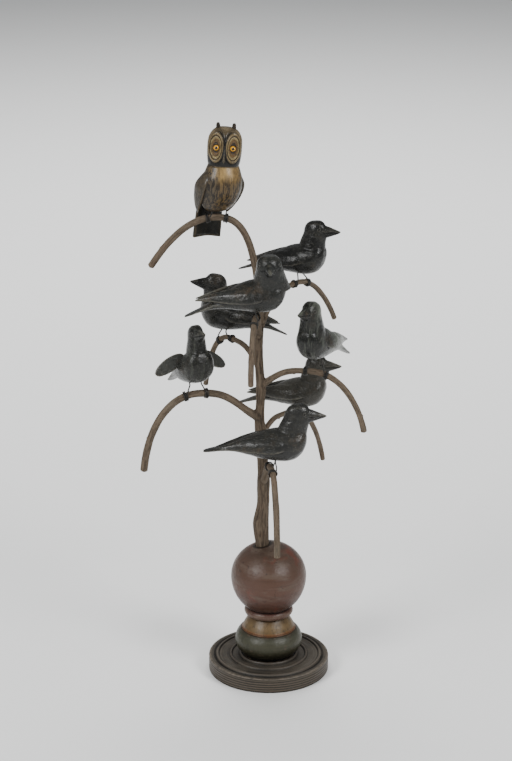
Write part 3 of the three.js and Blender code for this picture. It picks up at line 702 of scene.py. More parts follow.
@dataclass(frozen=True)
class GlassEye:
    """Amber glass with a dark pupil."""

    name: str = "amber glass eye"
    iris: Shades = (tone(214, 158, 34), tone(176, 112, 18))
    pupil: Colour = tone(8, 7, 6)
    rim: Colour = tone(46, 30, 12)
    back: Colour = tone(36, 26, 16)

    def material(self) -> Material:
        """Builds the eye by the angle from its gaze.

        Returns:
            The material.
        """
        board = Board(self.name)
        gaze = board.field("gaze", "Vector")
        front, out, up = board.parts(gaze)
        away = board.length(out, up)
        rays = board.cloud(gaze, 9.0, 3, 0.6)
        colour = board.coats(self.iris[0], (rays.span(0.4, 0.65), self.iris[1]),
                             (away.span(0.5, 0.44), self.pupil), (away.span(0.84, 0.95), self.rim),
                             (front.span(0.1, 0.0), self.back))
        return board.finish(colour, 0.12 + rays * 0.05, (rays, 0.00002), Specular_IOR_Level=0.3,
                            Coat_Weight=0.3, Coat_Roughness=0.08)


@dataclass(frozen=True)
class DarkWire:
    """Blackened iron wire with a little brown rust."""

    name: str = "blackened wire"
    film: Shades = (tone(20, 20, 19), tone(44, 42, 38))
    rust: Colour = tone(60, 42, 29)

    def material(self) -> Material:
        """Builds the wire's film and rust.

        Returns:
            The material.
        """
        board = Board(self.name)
        place = board.place()
        fine = board.cloud(place, 520, 4, 0.6)
        rusty = board.cloud(place, 120, 3, 0.6).span(0.54, 0.68)
        colour = board.coats(self.film[0], (fine.span(*MOTTLE), self.film[1]), (rusty * 0.35, self.rust))
        return board.finish(colour, 0.38 + fine * 0.3, (fine, 0.0003), Metallic=0.4 - rusty * 0.3)


@dataclass(frozen=True)
class EarFelt:
    """Black-brown fibre of the ear tufts."""

    name: str = "ear tuft fibre"
    fibre: Shades = (tone(22, 20, 18), tone(66, 56, 44))

    def material(self) -> Material:
        """Builds the upright fibres.

        Returns:
            The material.
        """
        board = Board(self.name)
        fibres = board.grain(board.place(), (1900, 1900, 160))
        return board.finish(board.mix(fibres.span(0.4, 0.66), *self.fibre), 0.6 + fibres * 0.25,
                            (fibres, 0.0004), Specular_IOR_Level=0.2)


@dataclass(frozen=True)
class StudioPaper:
    """Pale seamless paper under the carving."""

    name: str = "studio paper"
    tones: Shades = (tone(231, 231, 230), tone(227, 228, 228))

    def material(self) -> Material:
        """Builds the matt paper."""
        board = Board(self.name)
        return board.finish(board.mix(board.cloud(board.place(), 3.0, 3, 0.5) * 0.5, *self.tones), 0.9,
                            Specular_IOR_Level=0.1)


# Mesh work


def fade(values: Any, start: float, full: float) -> Any:
    """Straight share, 0 at the start and 1 from where it is full."""
    return np.clip((values - start) / (full - start), 0, 1)


def hump(values: Any, middle: float, width: float) -> Any:
    """Bell that is 1 at the middle and fades over a width."""
    return np.exp(-((values - middle) / width) ** 2)


def through(place: Matrix, points: Array) -> Array:
    """Points, one row each, moved by a placing matrix."""
    rows = np.array(place)
    return points @ rows[:3, :3].T + rows[:3, 3]


def turned(angle: float, axis: str) -> Matrix:
    """Turn by an angle in degrees."""
    return Matrix.Rotation(radians(angle), 4, axis)


def blended(sections: Array, shares: Array) -> Array:
    """Smooth values between sections.

    Args:
        sections: One row of numbers for each section.
        shares: Places counted in sections, from 0 to the last one.

    Returns:
        One row for each place.
    """
    last = len(sections) - 1
    low = np.clip(np.floor(shares).astype(int), 0, last - 1)
    step = (shares - low).reshape(-1, *([1] * (sections.ndim - 1)))
    before, here = sections[np.maximum(low - 1, 0)], sections[low]
    there, after = sections[low + 1], sections[np.minimum(low + 2, last)]
    return 0.5 * (2 * here + (there - before) * step
                  + (2 * before - 5 * here + 4 * there - after) * step ** 2
                  + (3 * here - before - 3 * there + after) * step ** 3)


def ring(centre: Sequence[float], across: Sequence[float], up: Sequence[float]) -> Ring:
    """One oval section: its centre and its two half axes."""
    return [list(centre), list(across), list(up)]


def standing(sections: Sections, breadth: float = 1.0) -> list[Ring]:
    """Level ovals of an upright form, from height, middle along, half depth and half width."""
    return [ring((along, 0, height), (depth, 0, 0), (0, width * breadth, 0))
            for height, along, depth, width in sections]


@dataclass
class Loft:
    """A closed body through oval sections."""

    rings: Sequence[Ring]
    sides: int = 24
    rows: int = 40
    corner: float = 2.0

    def add_to(self, mesh: BMesh, place: Matrix = Matrix.Identity(4)) -> list[Any]:
        """Adds the body to a mesh.

        Args:
            mesh: The mesh that gets it.
            place: Where the body goes.

        Returns:
            Its vertices.
        """
        verts = bmesh.ops.create_uvsphere(mesh, u_segments=self.sides, v_segments=self.rows,
                                          radius=1.0)["verts"]
        unit = np.array([vert.co for vert in verts])
        row = np.round(np.arccos(np.clip(unit[:, 2], -1, 1)) / pi * self.rows)
        sections = np.array(self.rings, float)
        placed = blended(sections, row / self.rows * (len(sections) - 1))
        flat = np.hypot(unit[:, 0], unit[:, 1])
        turn = unit[:, :2] / np.maximum(flat, 1e-9)[:, None]
        turn[flat < 1e-5] = 0.0
        turn = np.sign(turn) * np.abs(turn) ** (2 / self.corner)
        points = placed[:, 0] + placed[:, 1] * turn[:, :1] + placed[:, 2] * turn[:, 1:]
        for vert, point in zip(verts, points):
            vert.co = point
        bmesh.ops.transform(mesh, matrix=place, verts=verts)
        return verts


def kept(shape: BMesh, name: str, outward: bool = False) -> Mesh:
    """Writes a shape into a mesh of its own.

    Args:
        shape: The shape; it is freed.
        name: Name of the mesh.
        outward: Whether its faces are turned outward first.

    Returns:
        The mesh.
    """
    if outward:
        bmesh.ops.recalc_face_normals(shape, faces=shape.faces)
    mesh = bpy.data.meshes.new(name)
    shape.to_mesh(mesh)
    shape.free()
    return mesh


def linked(name: str, data: Any) -> bpy.types.Object:
    """A new object in the scene for a mesh, a light or a camera."""
    bpy.context.scene.collection.objects.link(made := bpy.data.objects.new(name, data))
    return made


def fused(parts: BMesh, voxel: float) -> Mesh:
    """Fuses overlapping closed bodies into one skin.

    Args:
        parts: The mesh of the bodies; it is freed.
        voxel: Edge length of the new skin, in the mesh's own unit.

    Returns:
        A new mesh.
    """
    raw = kept(parts, "parts", outward=True)
    holder = linked("parts", raw)
    modifier = holder.modifiers.new("fuse", "REMESH")
    modifier.mode = "VOXEL"
    modifier.voxel_size = voxel
    graph = bpy.context.evaluated_depsgraph_get()
    mesh = bpy.data.meshes.new_from_object(holder.evaluated_get(graph))
    bpy.data.meshes.remove(raw)
    return mesh


class Skin:
    """A mesh worked like wood: smoothed, cut, pushed and marked."""

    def __init__(self, mesh: Mesh) -> None:
        """Reads the points and the edges between them.

        Args:
            mesh: The mesh to work on.
        """
        self.mesh = mesh
        self.points = np.empty(len(mesh.vertices) * 3)
        mesh.vertices.foreach_get("co", self.points)
        self.points = self.points.reshape(-1, 3)
        edges = np.empty(len(mesh.edges) * 2, np.int32)
        mesh.edges.foreach_get("vertices", edges)
        self.edges = edges.reshape(-1, 2)
        self.count = np.maximum(np.bincount(self.edges.ravel(), minlength=len(self.points)), 1)

    def average(self, values: Array, rounds: int = 1) -> Array:
        """Mean of each point's neighbours.

        Args:
            values: A number or a row of numbers for each point.
            rounds: How many times the mean is taken.

        Returns:
            The means, in the shape of the values.
        """
        flat = values.reshape(len(self.points), -1)
        for _ in range(rounds):
            total = np.empty_like(flat)
            for column in range(flat.shape[1]):
                first = np.bincount(self.edges[:, 0], flat[self.edges[:, 1], column], len(self.points))
                second = np.bincount(self.edges[:, 1], flat[self.edges[:, 0], column], len(self.points))
                total[:, column] = (first + second) / self.count
            flat = total
        return flat.reshape(values.shape)

    def relax(self, rounds: int) -> None:
        """Smooths the skin by moves toward the neighbours that are mostly taken back."""
        for move in (0.5, -0.45) * rounds:
            self.points += move * (self.average(self.points) - self.points)

    def normals(self) -> Array:
        """Outward directions at the points.

        Returns:
            One row for each point.
        """
        self.write()
        found = np.empty(len(self.points) * 3, np.float32)
        self.mesh.vertex_normals.foreach_get("vector", found)
        return found.reshape(-1, 3).astype(float)

    def write(self) -> None:
        """Puts the points back in the mesh."""
        self.mesh.vertices.foreach_set("co", self.points.astype(np.float32).ravel())
        self.mesh.update()

    def push(self, amounts: Array) -> None:
        """Moves each point along its normal."""
        self.points += self.normals() * amounts[:, None]

    def curve(self, rounds: int) -> Array:
        """How far each point stands proud of its surroundings, in the mesh's unit."""
        away = self.points - self.average(self.points, rounds)
        return np.einsum("ij,ij->i", away, self.normals())

    def away(self, line: Array) -> Array:
        """Distance of each point from a line.

        Args:
            line: The line's points in order.

        Returns:
            One distance for each point.
        """
        best = np.full(len(self.points), FAR)
        for start, end in zip(line[:-1], line[1:]):
            step = end - start
            share = np.clip((self.points - start) @ step / max(step @ step, 1e-12), 0, 1)
            gap = self.points - start - share[:, None] * step
            best = np.minimum(best, np.einsum("ij,ij->i", gap, gap))
        return np.sqrt(best)

    def near(self, line: Array, width: float) -> Array:
        """Mask that is 1 on a line and fades over a width."""
        return hump(self.away(line), 0, width)

    def cloud(self, scale: float, seed: float = 0.0, stretch: Place = (1, 1, 1),
              source: Array | None = None) -> Array:
        """Smooth noise from -1 to 1 at the points or at the places of a source."""
        where = (self.points if source is None else source) * (np.array(stretch) * scale) + seed
        return np.array([noise.noise(Vector(point)) for point in where])

    def keep(self, **fields: Array) -> None:
        """Stores fields for the paint.

        Args:
            **fields: A number, a vector or a colour for each point, by the field's name.
        """
        kinds = {1: ("FLOAT", "value"), 3: ("FLOAT_VECTOR", "vector"), 4: ("FLOAT_COLOR", "color")}
        for name, values in fields.items():
            kind, part = kinds[1 if values.ndim == 1 else values.shape[1]]
            layer = self.mesh.attributes.new(name, kind, "POINT")
            layer.data.foreach_set(part, values.astype(np.float32).ravel())

    def mark_wear_and_shade(self, reach: float = 1.0) -> None:
        """Stores where the skin is proud, and so worn, and where it is hollow, which the paints darken as
        painted shade.
        """
        proud = self.average(self.curve(2) * 0.6 + self.curve(7) * 0.4) / reach
        self.keep(worn=np.clip(proud * 3.2, 0, 1), hollow=np.clip(-proud * 3.6 - 0.12, 0, 1))

    def finished(self, place: Matrix = Matrix.Identity(4)) -> Mesh:
        """Puts the mesh in its place.

        Args:
            place: Where it goes, in millimetres.

        Returns:
            The mesh, in metres.
        """
        self.write()
        self.mesh.transform(Matrix.Scale(METRE, 4) @ place)
        return self.mesh


def spun(outline: Sequence[Pair], steps: int) -> BMesh:
    """Turns an outline round the Z axis.

    Args:
        outline: Radius and height of each point, from the axis to the axis.
        steps: How many steps a full turn has.

    Returns:
        The turned mesh.
    """
    mesh = bmesh.new()
    verts = [mesh.verts.new((radius, 0.0, height)) for radius, height in outline]
    edges = [mesh.edges.new(pair) for pair in zip(verts[:-1], verts[1:])]
    bmesh.ops.spin(mesh, geom=verts + edges, cent=(0, 0, 0), axis=(0, 0, 1), dvec=(0, 0, 0),
                   angle=tau, steps=steps, use_merge=True, use_duplicate=False)
    bmesh.ops.remove_doubles(mesh, verts=mesh.verts, dist=1e-4)
    bmesh.ops.recalc_face_normals(mesh, faces=mesh.faces)
    return mesh


def eased(outline: Sequence[Pair], spacing: float) -> list[Pair]:
    """Adds points to an outline.

    Args:
        outline: Radius and height of each point.
        spacing: The most that two points may lie apart.

    Returns:
        The denser outline.
    """
    dense = [outline[0]]
    for start, end in zip(outline[:-1], outline[1:]):
        count = max(1, ceil(dist(start, end) / spacing))
        for step in range(1, count + 1):
            share = step / count
            dense.append((start[0] + (end[0] - start[0]) * share, start[1] + (end[1] - start[1]) * share))
    return dense


def arc(centre: Pair, size: Pair, start: float, end: float, steps: int) -> list[Pair]:
    """Points of an oval arc between two angles in degrees, both ends kept."""
    turns = [radians(start + (end - start) * step / steps) for step in range(steps + 1)]
    return [(centre[0] + size[0] * cos(turn), centre[1] + size[1] * sin(turn)) for turn in turns]


def show(name: str, mesh: Mesh, material: Material, node: str) -> None:
    """Makes a finished piece that stands for a node.

    Args:
        name: Name of the piece.
        mesh: Its mesh, in place and in metres.
        material: Its finish.
        node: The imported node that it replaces.
    """
    mesh.name = name
    mesh.materials.append(material)
    for face in mesh.polygons:
        face.use_smooth = True
    piece = linked(name, mesh)
    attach(piece, BODY)
    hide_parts(node)
    corners = np.array([vert.co for vert in mesh.vertices])
    low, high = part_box(node)
    over = max(*(np.array(low) - corners.min(0)), *(corners.max(0) - np.array(high))) / METRE
    LOG.info("%s: %d faces, at most %.1f mm past its node", name, len(mesh.polygons), over)


# Turned base


@dataclass
class TurnedBase:
    """Plinth disc and stand."""

    disc_radius: float = 75.4
    rim_height: float = 19.0
    rim_round: float = 1.6
    reeds: int = 5
    reed_depth: float = 0.55
    reed_groove: float = 0.06
    reed_crest: float = 0.44
    top_reed_back: float = 0.3
    band_width: float = 6.4
    band_step: Pairs = ((0.6, 0.0), (0.0, -0.9), (-1.2, -1.0), (-2.2, -0.2))
    ridges: Places = ((64.5, 3.4, 1.7), (47.5, 3.2, 1.7), (35.0, 3.2, 3.4))
    ridge_sink: float = 0.2
    ridge_groove: Pairs = ((0.9, 0.0), (0.2, -0.5))
    seat_inset: float = 2.0
    disc_dent: float = 0.10
    rest_gap: float = 0.3
    foot_radius: float = 30.6
    foot_height: float = 6.0
    foot_cove: Pair = (0.5, 1.2)
    bulb_radius: float = 42.0
    bulb_height: float = 37.7
    bulb_widest: float = 0.576
    bulb_arcs: Pair = (46.0, 50.0)
    double_line: Pairs = (
        (-0.1, -0.7), (0.5, -0.2), (-0.2, 0.3), (-0.9, 0.6), (-0.2, 1.1), (-1.2, 1.7))
    neck_foot: float = 33.4
    neck_radius: float = 22.6
    neck_height: float = 18.0
    neck_swell: float = 0.8
    neck_steps: int = 12
    ring_radius: float = 30.5
    ring_height: float = 10.9
    ring_arc: float = 72.0
    ball_radius: float = 47.0
    ball_flat: float = 27.2
    ball_groove: float = 0.7
    ball_rise: float = 43.2
    ball_fall: float = 50.0
    socket_side: float = -8.1
    socket_radius: float = 9.0
    socket_depth: float = 22.0
    socket_sides: int = 40
    stand_dent: float = 0.12
    steps: int = 144
    row_spacing: float = 1.5

    @property
    def ring_top(self) -> float:
        """Height of the ring's top."""
        below = self.bulb_height + self.neck_height + self.ring_height
        return self.rim_height + self.rest_gap + below

    @property
    def ball_centre(self) -> float:
        """Height of the ball's widest part."""
        return self.ring_top + self.ball_fall * sqrt(1 - (self.ball_flat / self.ball_radius) ** 2)

    @property
    def ball_top(self) -> float:
        """Height of the ball's top."""
        return self.ball_centre + self.ball_rise

    def build(self) -> None:
        """Makes the disc and the stand."""
        disc = self._skin(kept(spun(self._disc_outline(), self.steps), "disc"), self.disc_dent)
        show("plinth_disc_dressed", disc, PlinthPaint().material(), "plinth_disc")
        stand = self._skin(self._bored(spun(self._stand_outline(), self.steps)), self.stand_dent)
        show("turned_stand_dressed", stand, StandPaint().material(), "turned_stand")

    def _disc_outline(self) -> list[Pair]:
        """Outline of the disc: reeded rim, band, ridges and seat.

        Returns:
            Radius and height of each point.
        """
        top, full, round_off = self.rim_height, self.disc_radius, (self.rim_round,) * 2
        inset = full - self.rim_round
        outline = [(0.0, 0.0), (inset, 0.0), *arc((inset, self.rim_round), round_off, -80, 0, 4)]
        reed = (top - 2 * self.rim_round) / self.reeds
        for index in range(self.reeds):
            foot = self.rim_round + index * reed
            crest = full if index < self.reeds - 1 else full - self.top_reed_back
            outline.append((full - self.reed_depth, foot + reed * self.reed_groove))
            outline += arc((full - self.reed_depth, foot + reed / 2),
                           (self.reed_depth + crest - full, reed * self.reed_crest), -75, 75, 4)
        outline += arc((inset, top - self.rim_round), round_off, 10, 90, 5)
        inner = full - self.band_width
        outline += [(inner + out, top + up) for out, up in self.band_step]
        for radius, width, height in self.ridges:
            groove = [(width / 2 + out, top + up) for out, up in self.ridge_groove]
            outline += [(radius + out, up) for out, up in groove]
            outline += arc((radius, top - self.ridge_sink), (width / 2, height + self.ridge_sink), 5, 175, 8)
            outline += [(radius - out, up) for out, up in reversed(groove)]
        outline += [(self.foot_radius - self.seat_inset, top), (0.0, top)]
        return eased(outline, self.row_spacing)

    def _stand_outline(self) -> list[Pair]:
        """Outline of the stand: cove, bulb, neck, ring and ball.

        Returns:
            Radius and height of each point.
        """
        foot = self.rim_height + self.rest_gap
        neck_foot = foot + self.bulb_height
        ring_foot = neck_foot + self.neck_height
        lower, upper = self.bulb_arcs
        bulge = (self.bulb_radius - self.neck_foot) / (1 - cos(radians(upper)))
        core = self.bulb_radius - bulge
        middle = foot + self.bulb_height * self.bulb_widest
        bulb_foot = foot + self.foot_height
        low_size = (bulge, (middle - bulb_foot) / sin(radians(lower)))
        high_size = (bulge, (neck_foot - middle) / sin(radians(upper)))
        cove_in, cove_down = self.foot_cove
        outline = [(0.0, foot), (self.foot_radius, foot),
                               (self.foot_radius - cove_in, bulb_foot - cove_down)]
        outline += arc((core, middle), low_size, -lower, 0, 12)
        outline += arc((core, middle), high_size, 4, upper - 3, 12)
        outline += [(self.neck_foot + out, neck_foot + up) for out, up in self.double_line]
        for step in range(2, self.neck_steps + 1):
            share = step / self.neck_steps
            radius = self.neck_foot + (self.neck_radius - self.neck_foot) * share
            outline.append((radius + self.neck_swell * sin(pi * share),
                            neck_foot + self.neck_height * share))
        bulge = self.ring_height / 2
        outline += arc((self.ring_radius - bulge, ring_foot + bulge), (bulge, bulge),
                       -self.ring_arc, self.ring_arc, 12)
        outline.append((self.ball_flat - self.ball_groove, self.ring_top))
        turn = degrees(acos(self.ball_flat / self.ball_radius))
        outline += arc((0, self.ball_centre), (self.ball_radius, self.ball_fall), -turn + 1, 0, 24)
        outline += arc((0, self.ball_centre), (self.ball_radius, self.ball_rise), 3, 90, 30)[:-1]
        return eased([*outline, (0.0, self.ball_top)], self.row_spacing)

    def _bored(self, shape: BMesh) -> Mesh:
        """Bores the socket of the trunk into the ball.

        Args:
            shape: The turned stand; it is freed.

        Returns:
            The bored stand.
        """
        cutter = bmesh.new()
        bmesh.ops.create_cone(cutter, cap_ends=True, segments=self.socket_sides, radius1=self.socket_radius,
                              radius2=self.socket_radius, depth=2 * self.socket_depth,
                              matrix=Matrix.Translation((self.socket_side, 0, self.ball_top)))
        parts = (kept(shape, "stand"), kept(cutter, "drill"))
        pieces = [linked(part.name, part) for part in parts]
        modifier = pieces[0].modifiers.new("bore", "BOOLEAN")
        modifier.operation = "DIFFERENCE"
        modifier.solver = "EXACT"
        modifier.object = pieces[1]
        graph = bpy.context.evaluated_depsgraph_get()
        bored = bmesh.new()
        bored.from_mesh(pieces[0].evaluated_get(graph).to_mesh())
        for part in parts:
            bpy.data.meshes.remove(part)
        return kept(bored, "bored stand", outward=True)

    def _skin(self, mesh: Mesh, dent: float) -> Mesh:
        """Gives a turning its slight dents, its wear and the hollows that get painted shade.

        Args:
            mesh: The turning, in millimetres.
            dent: Depth of the broad dents.

        Returns:
            The mesh, in metres.
        """
        skin = Skin(mesh)
        skin.push(dent * skin.cloud(0.035, 3.0) + dent * 0.6 * skin.cloud(0.11, 9.0))
        skin.mark_wear_and_shade(0.9)
        return skin.finished()


# Sapling


@dataclass(frozen=True)
class Branch:
    """One branch: it leaves the trunk, arches up to its apex and droops to its tip."""

    azimuth: float
    diameter: float
    leave: float
    droop: float
    root: float
    apex: Pair
    tip: Pair
    bow: float = 0.52
    fall_spread: float = 0.55


class Spine:
    """A centre line with places counted by share of its length."""

    def __init__(self, points: Array) -> None:
        """Measures the line.

        Args:
            points: The line's points in order.
        """
        self.points = points
        steps = np.linalg.norm(np.diff(points, axis=0), axis=1)
        self.along = np.concatenate([[0], np.cumsum(steps)])
        self.length = float(self.along[-1])

    def at(self, share: float) -> Vector:
        """Point at a share of the length."""
        where = share * self.length
        return Vector([float(np.interp(where, self.along, self.points[:, axis])) for axis in range(3)])

    def tangent(self, share: float) -> Vector:
        """Direction of travel at a share of the length."""
        low, high = max(0.0, share - 1.0 / self.length), min(1.0, share + 1.0 / self.length)
        return (self.at(high) - self.at(low)).normalized()


@dataclass
class Sapling:
    """Trunk and branches, grown together."""

    ball_top: float
    foot_side: float = -8.1
    foot_radius: float = 8.4
    foot_depth: float = 21.7
    stretches: Places = (
        (13, -9.0, 9.2), (28, -10.0, 9.9), (42, -8.4, 8.5), (58, -6.9, 7.5), (84, -6.7, 7.8),
        (98, -7.2, 6.8), (126, -8.8, 6.7), (149, -9.9, 7.3), (164, -11.7, 6.1), (187, -10.3, 5.4),
        (202, -9.7, 6.1), (226, -11.7, 5.2), (240, -12.8, 5.4), (259, -12.3, 4.9), (276, -11.2, 4.4),
        (290, -10.4, 3.9),
    )
    branches: dict[str, Branch] = field(default_factory=lambda: {
        "leader": Branch(180, 8.4, 88, 56.5, 285, (51.2, 418.2), (132, 355.6), 0.79, 0.46),
        "upperBack": Branch(50, 6.6, 52, 64, 282, (71.3, 321.4), (145.7, 256.7), fall_spread=0.41),
        "upperFront": Branch(264, 7.2, 50, 88, 270, (52, 307), (100, 239)),
        "middleBack": Branch(130, 6.6, 38, 80, 232, (56, 254.5), (104, 180)),
        "middleRight": Branch(348, 7.4, 37.6, 79, 207, (61, 230), (127.9, 155.9), 0.45),
        "lowerLeft": Branch(194, 9.0, 30.4, 85.7, 166, (77.2, 203.6), (144.6, 108.1), 0.44, 0.59),
        "lowerBack": Branch(53, 6.4, 36.9, 78, 142, (62.1, 157.1), (131.6, 69.5), 0.56, 0.41),
        "lowerFront": Branch(279, 7.8, 48, 90, 80, (64, 121), (103, 23)),
    })
    trunk_sides: int = 24
    trunk_rows: int = 110
    trunk_reach: float = 7.0
    flare: float = 1.45
    flare_length: float = 9.0
    swell: float = 0.05
    swell_length: float = 16.0
    crown_spread: float = 0.55
    tip_bow: float = 0.52
    branch_sides: int = 18
    branch_rings: int = 46
    spur_places: Pairs = ((0.16, 0.26), (0.72, 0.9))
    spur_reach: Pair = (0.9, 1.6)
    spur_thickness: Pair = (1.2, 1.7)
    spur_taper: Pairs = ((0.0, 1.5), (0.7, 1.25), (1.0, 1.0))
    cut_length: float = 0.6
    ridge_depth: float = 0.32
    knot_height: float = 0.5
    voxel: float = 1.0
    line_steps: int = 240
    grain_steps: int = 60
    grain_shift: float = 400.0

    def __post_init__(self) -> None:
        """Draws every branch's centre line."""
        self.line = [(-self.foot_depth, self.foot_side, self.foot_radius),
                     (0.0, self.foot_side, self.foot_radius), *self.stretches]
        self.spines = {name: self._spine(branch) for name, branch in self.branches.items()}

    def trunk_centre(self, height: float) -> Vector:
        """Middle of the trunk at a height above the ball."""
        heights, sides, _ = zip(*self.line)
        return Vector((float(np.interp(height, heights, sides)), 0, self.ball_top + height))

    def _spine(self, branch: Branch) -> Spine:
        """Centre line of a branch, from two cubic arcs in its upright plane.

        Args:
            branch: The branch.

        Returns:
            Its line.
        """
        start = self.trunk_centre(branch.root)
        turn = radians(branch.azimuth)
        out = np.array([cos(turn), sin(turn)])
        apex, tip = np.array(branch.apex, float), np.array(branch.tip, float)
        rise = branch.bow * hypot(apex[0], apex[1] - branch.root)
        leave, droop = radians(branch.leave), radians(branch.droop)
        fall = self.tip_bow * (apex[1] - tip[1])
        first = [(0, branch.root), (rise * cos(leave), branch.root + rise * sin(leave)),
                 (apex[0] * (1 - self.crown_spread), apex[1]), apex]
        second = [apex, (apex[0] + branch.fall_spread * (tip[0] - apex[0]), apex[1]),
                  (tip[0] - fall * cos(droop), tip[1] + fall * sin(droop)), tip]
        share = np.linspace(0, 1, self.line_steps)[:, None]
        flat = np.concatenate([self._cubic(np.array(first, float), share)[:-1],
                               self._cubic(np.array(second, float), share)])
        points = np.empty((len(flat), 3))
        points[:, :2] = np.array(start)[:2] + flat[:, :1] * out
        points[:, 2] = self.ball_top + flat[:, 1]
        return Spine(points)

    @staticmethod
    def _cubic(control: Array, share: Array) -> Array:
        """Points of a cubic arc."""
        rest = 1 - share
        return (rest ** 3 * control[0] + 3 * rest ** 2 * share * control[1]
                + 3 * rest * share ** 2 * control[2] + share ** 3 * control[3])

    def feet(self, branch: str, reach: float, stance: float) -> Pair:
        """Where a carving's two feet stand on a branch.

        Args:
            branch: Name of the branch.
            reach: Distance of the carving from the trunk, seen from above.
            stance: Distance between the feet.

        Returns:
            Shares of the branch's length.
        """
        spine = self.spines[branch]
        root = np.array(self.trunk_centre(self.branches[branch].root))
        plan = np.hypot(*(spine.points - root)[:, :2].T)
        middle = float(np.interp(reach, plan, spine.along)) / spine.length
        half = stance / 2 / spine.length
        return middle - half, middle + half

    def build(self) -> None:
        """Makes the tree in one fused skin."""
        parts = bmesh.new()
        trunk = [(self.ball_top + height, side, radius, radius) for height, side, radius in self.line]
        Loft(standing(trunk), self.trunk_sides, self.trunk_rows).add_to(parts)
        chance = random.Random(SEED)
        for name, branch in self.branches.items():
            self._add_branch(parts, self.spines[name], branch, chance)
        skin = Skin(fused(parts, self.voxel))
        skin.relax(2)
        self._grow(skin)
        show("tree_dressed", skin.finished(), Bark().material(), "tree")

    def _add_branch(self, parts: BMesh, spine: Spine, branch: Branch, chance: random.Random) -> None:
        """Adds a branch with its collar, swellings and stubs of trimmed twigs.

        Args:
            parts: The tree's bodies.
            spine: The branch's centre line.
            branch: Its sizes.
            chance: Source of its uneven sizes.
        """
        turn = radians(branch.azimuth)
        side = Vector((-sin(turn), cos(turn), 0))
        rings = []
        wave = chance.uniform(0, 9)
        for step in range(self.branch_rings + 1):
            share = step / self.branch_rings
            centre, travel = spine.at(share), spine.tangent(share)
            up = side.cross(travel)
            along = share * spine.length
            flare = 1 + (self.flare - 1) * exp(-along / self.flare_length)
            swell = 1 + self.swell * noise.noise(Vector((along / self.swell_length, wave, 0)))
            radius = branch.diameter / 2 * flare * swell
            rings.append(ring(centre, side * radius, up * radius))
        Loft(rings, self.branch_sides, self.branch_rings * 2).add_to(parts)
        for share in [chance.uniform(*limits) for limits in self.spur_places]:
            centre, travel = spine.at(share), spine.tangent(share)
            out = Matrix.Rotation(chance.uniform(0, tau), 3, travel) @ side
            lean = (out.normalized() + travel * 0.5).normalized()
            across, up = travel.cross(lean).normalized(), lean.cross(travel.cross(lean)).normalized()
            reach = branch.diameter / 2 + chance.uniform(*self.spur_reach)
            thick = chance.uniform(*self.spur_thickness)
            rings = [ring(centre + lean * reach * place, across * thick * size, up * thick * size)
                     for place, size in self.spur_taper]
            Loft(rings, 10, 6).add_to(parts)

    def _grow(self, skin: Skin) -> None:
        """Cuts the bark's ridges and stores its grain, its trunk and its cut ends.

        Args:
            skin: The fused tree.
        """
        count = len(skin.points)
        best = np.full(count, FAR)
        grain, trunk, cut = np.zeros((count, 3)), np.zeros(count), np.zeros(count)
        stem = Spine(np.array([[side, 0, self.ball_top + height] for height, side, _ in self.line]))
        lines = [(stem, self.trunk_reach)]
        lines += [(spine, self.branches[name].diameter / 2) for name, spine in self.spines.items()]
        for index, (spine, radius) in enumerate(lines):
            stations = np.linspace(0, spine.length, self.grain_steps)
            line = np.array([spine.at(station / spine.length) for station in stations])
            for start, end, low in zip(line[:-1], line[1:], stations[:-1]):
                step = end - start
                size = float(np.linalg.norm(step))
                share = np.clip((skin.points - start) @ step / size ** 2, 0, 1)
                gap = skin.points - start - share[:, None] * step
                away = np.linalg.norm(gap, axis=1) / radius
                closer = away < best
                best[closer] = away[closer]
                side = np.cross(step / size, (0.3, 0.9, 0.1))
                side /= np.linalg.norm(side)
                up = np.cross(step / size, side)
                along = low + share * size
                place = np.stack([gap @ side, gap @ up, along + self.grain_shift * index], 1)
                grain[closer] = place[closer]
                trunk[closer] = index == 0
                cut[closer] = (index > 0) & (along > spine.length - self.cut_length)[closer]
        ridges = skin.cloud(1.0, 2.0, (0.45, 0.45, 0.05), grain)
        knots = skin.cloud(1.0, 31.0, (0.16, 0.16, 0.075), grain)
        height = (self.ridge_depth * ridges * (1 + trunk)
                  + self.knot_height * np.clip(knots - 0.35, 0, 1) * (1 + trunk * 1.5))
        skin.push(height * (1 - cut))
        skin.mark_wear_and_shade(0.8)
        skin.keep(grain=grain, trunk=skin.average(trunk, 4), cut=cut)


# Carvings


@dataclass(frozen=True)
class Perch:
    """Where a carving stands on its branch and how it is turned."""

    branch: str
    reach: float
    facing: float
    leg: float
    pitch: float = 0.0
    lean: float = 0.0
    lead: float = 0.0
    stance: float = 26.0

    def frame(self, tree: Sapling) -> Matrix:
        """The carving's frame.

        Args:
            tree: The tree that it stands on.

        Returns:
            The placing matrix.
        """
        near, far = tree.feet(self.branch, self.reach, self.stance)
        seat = tree.spines[self.branch].at((near + far) / 2)
        seat.z += tree.branches[self.branch].diameter / 2 + self.leg
        return (Matrix.Translation(seat) @ turned(self.facing, "Z") @ turned(-self.pitch, "Y")
                @ turned(-self.lean, "X") @ Matrix.Translation((self.lead, 0, 0)))


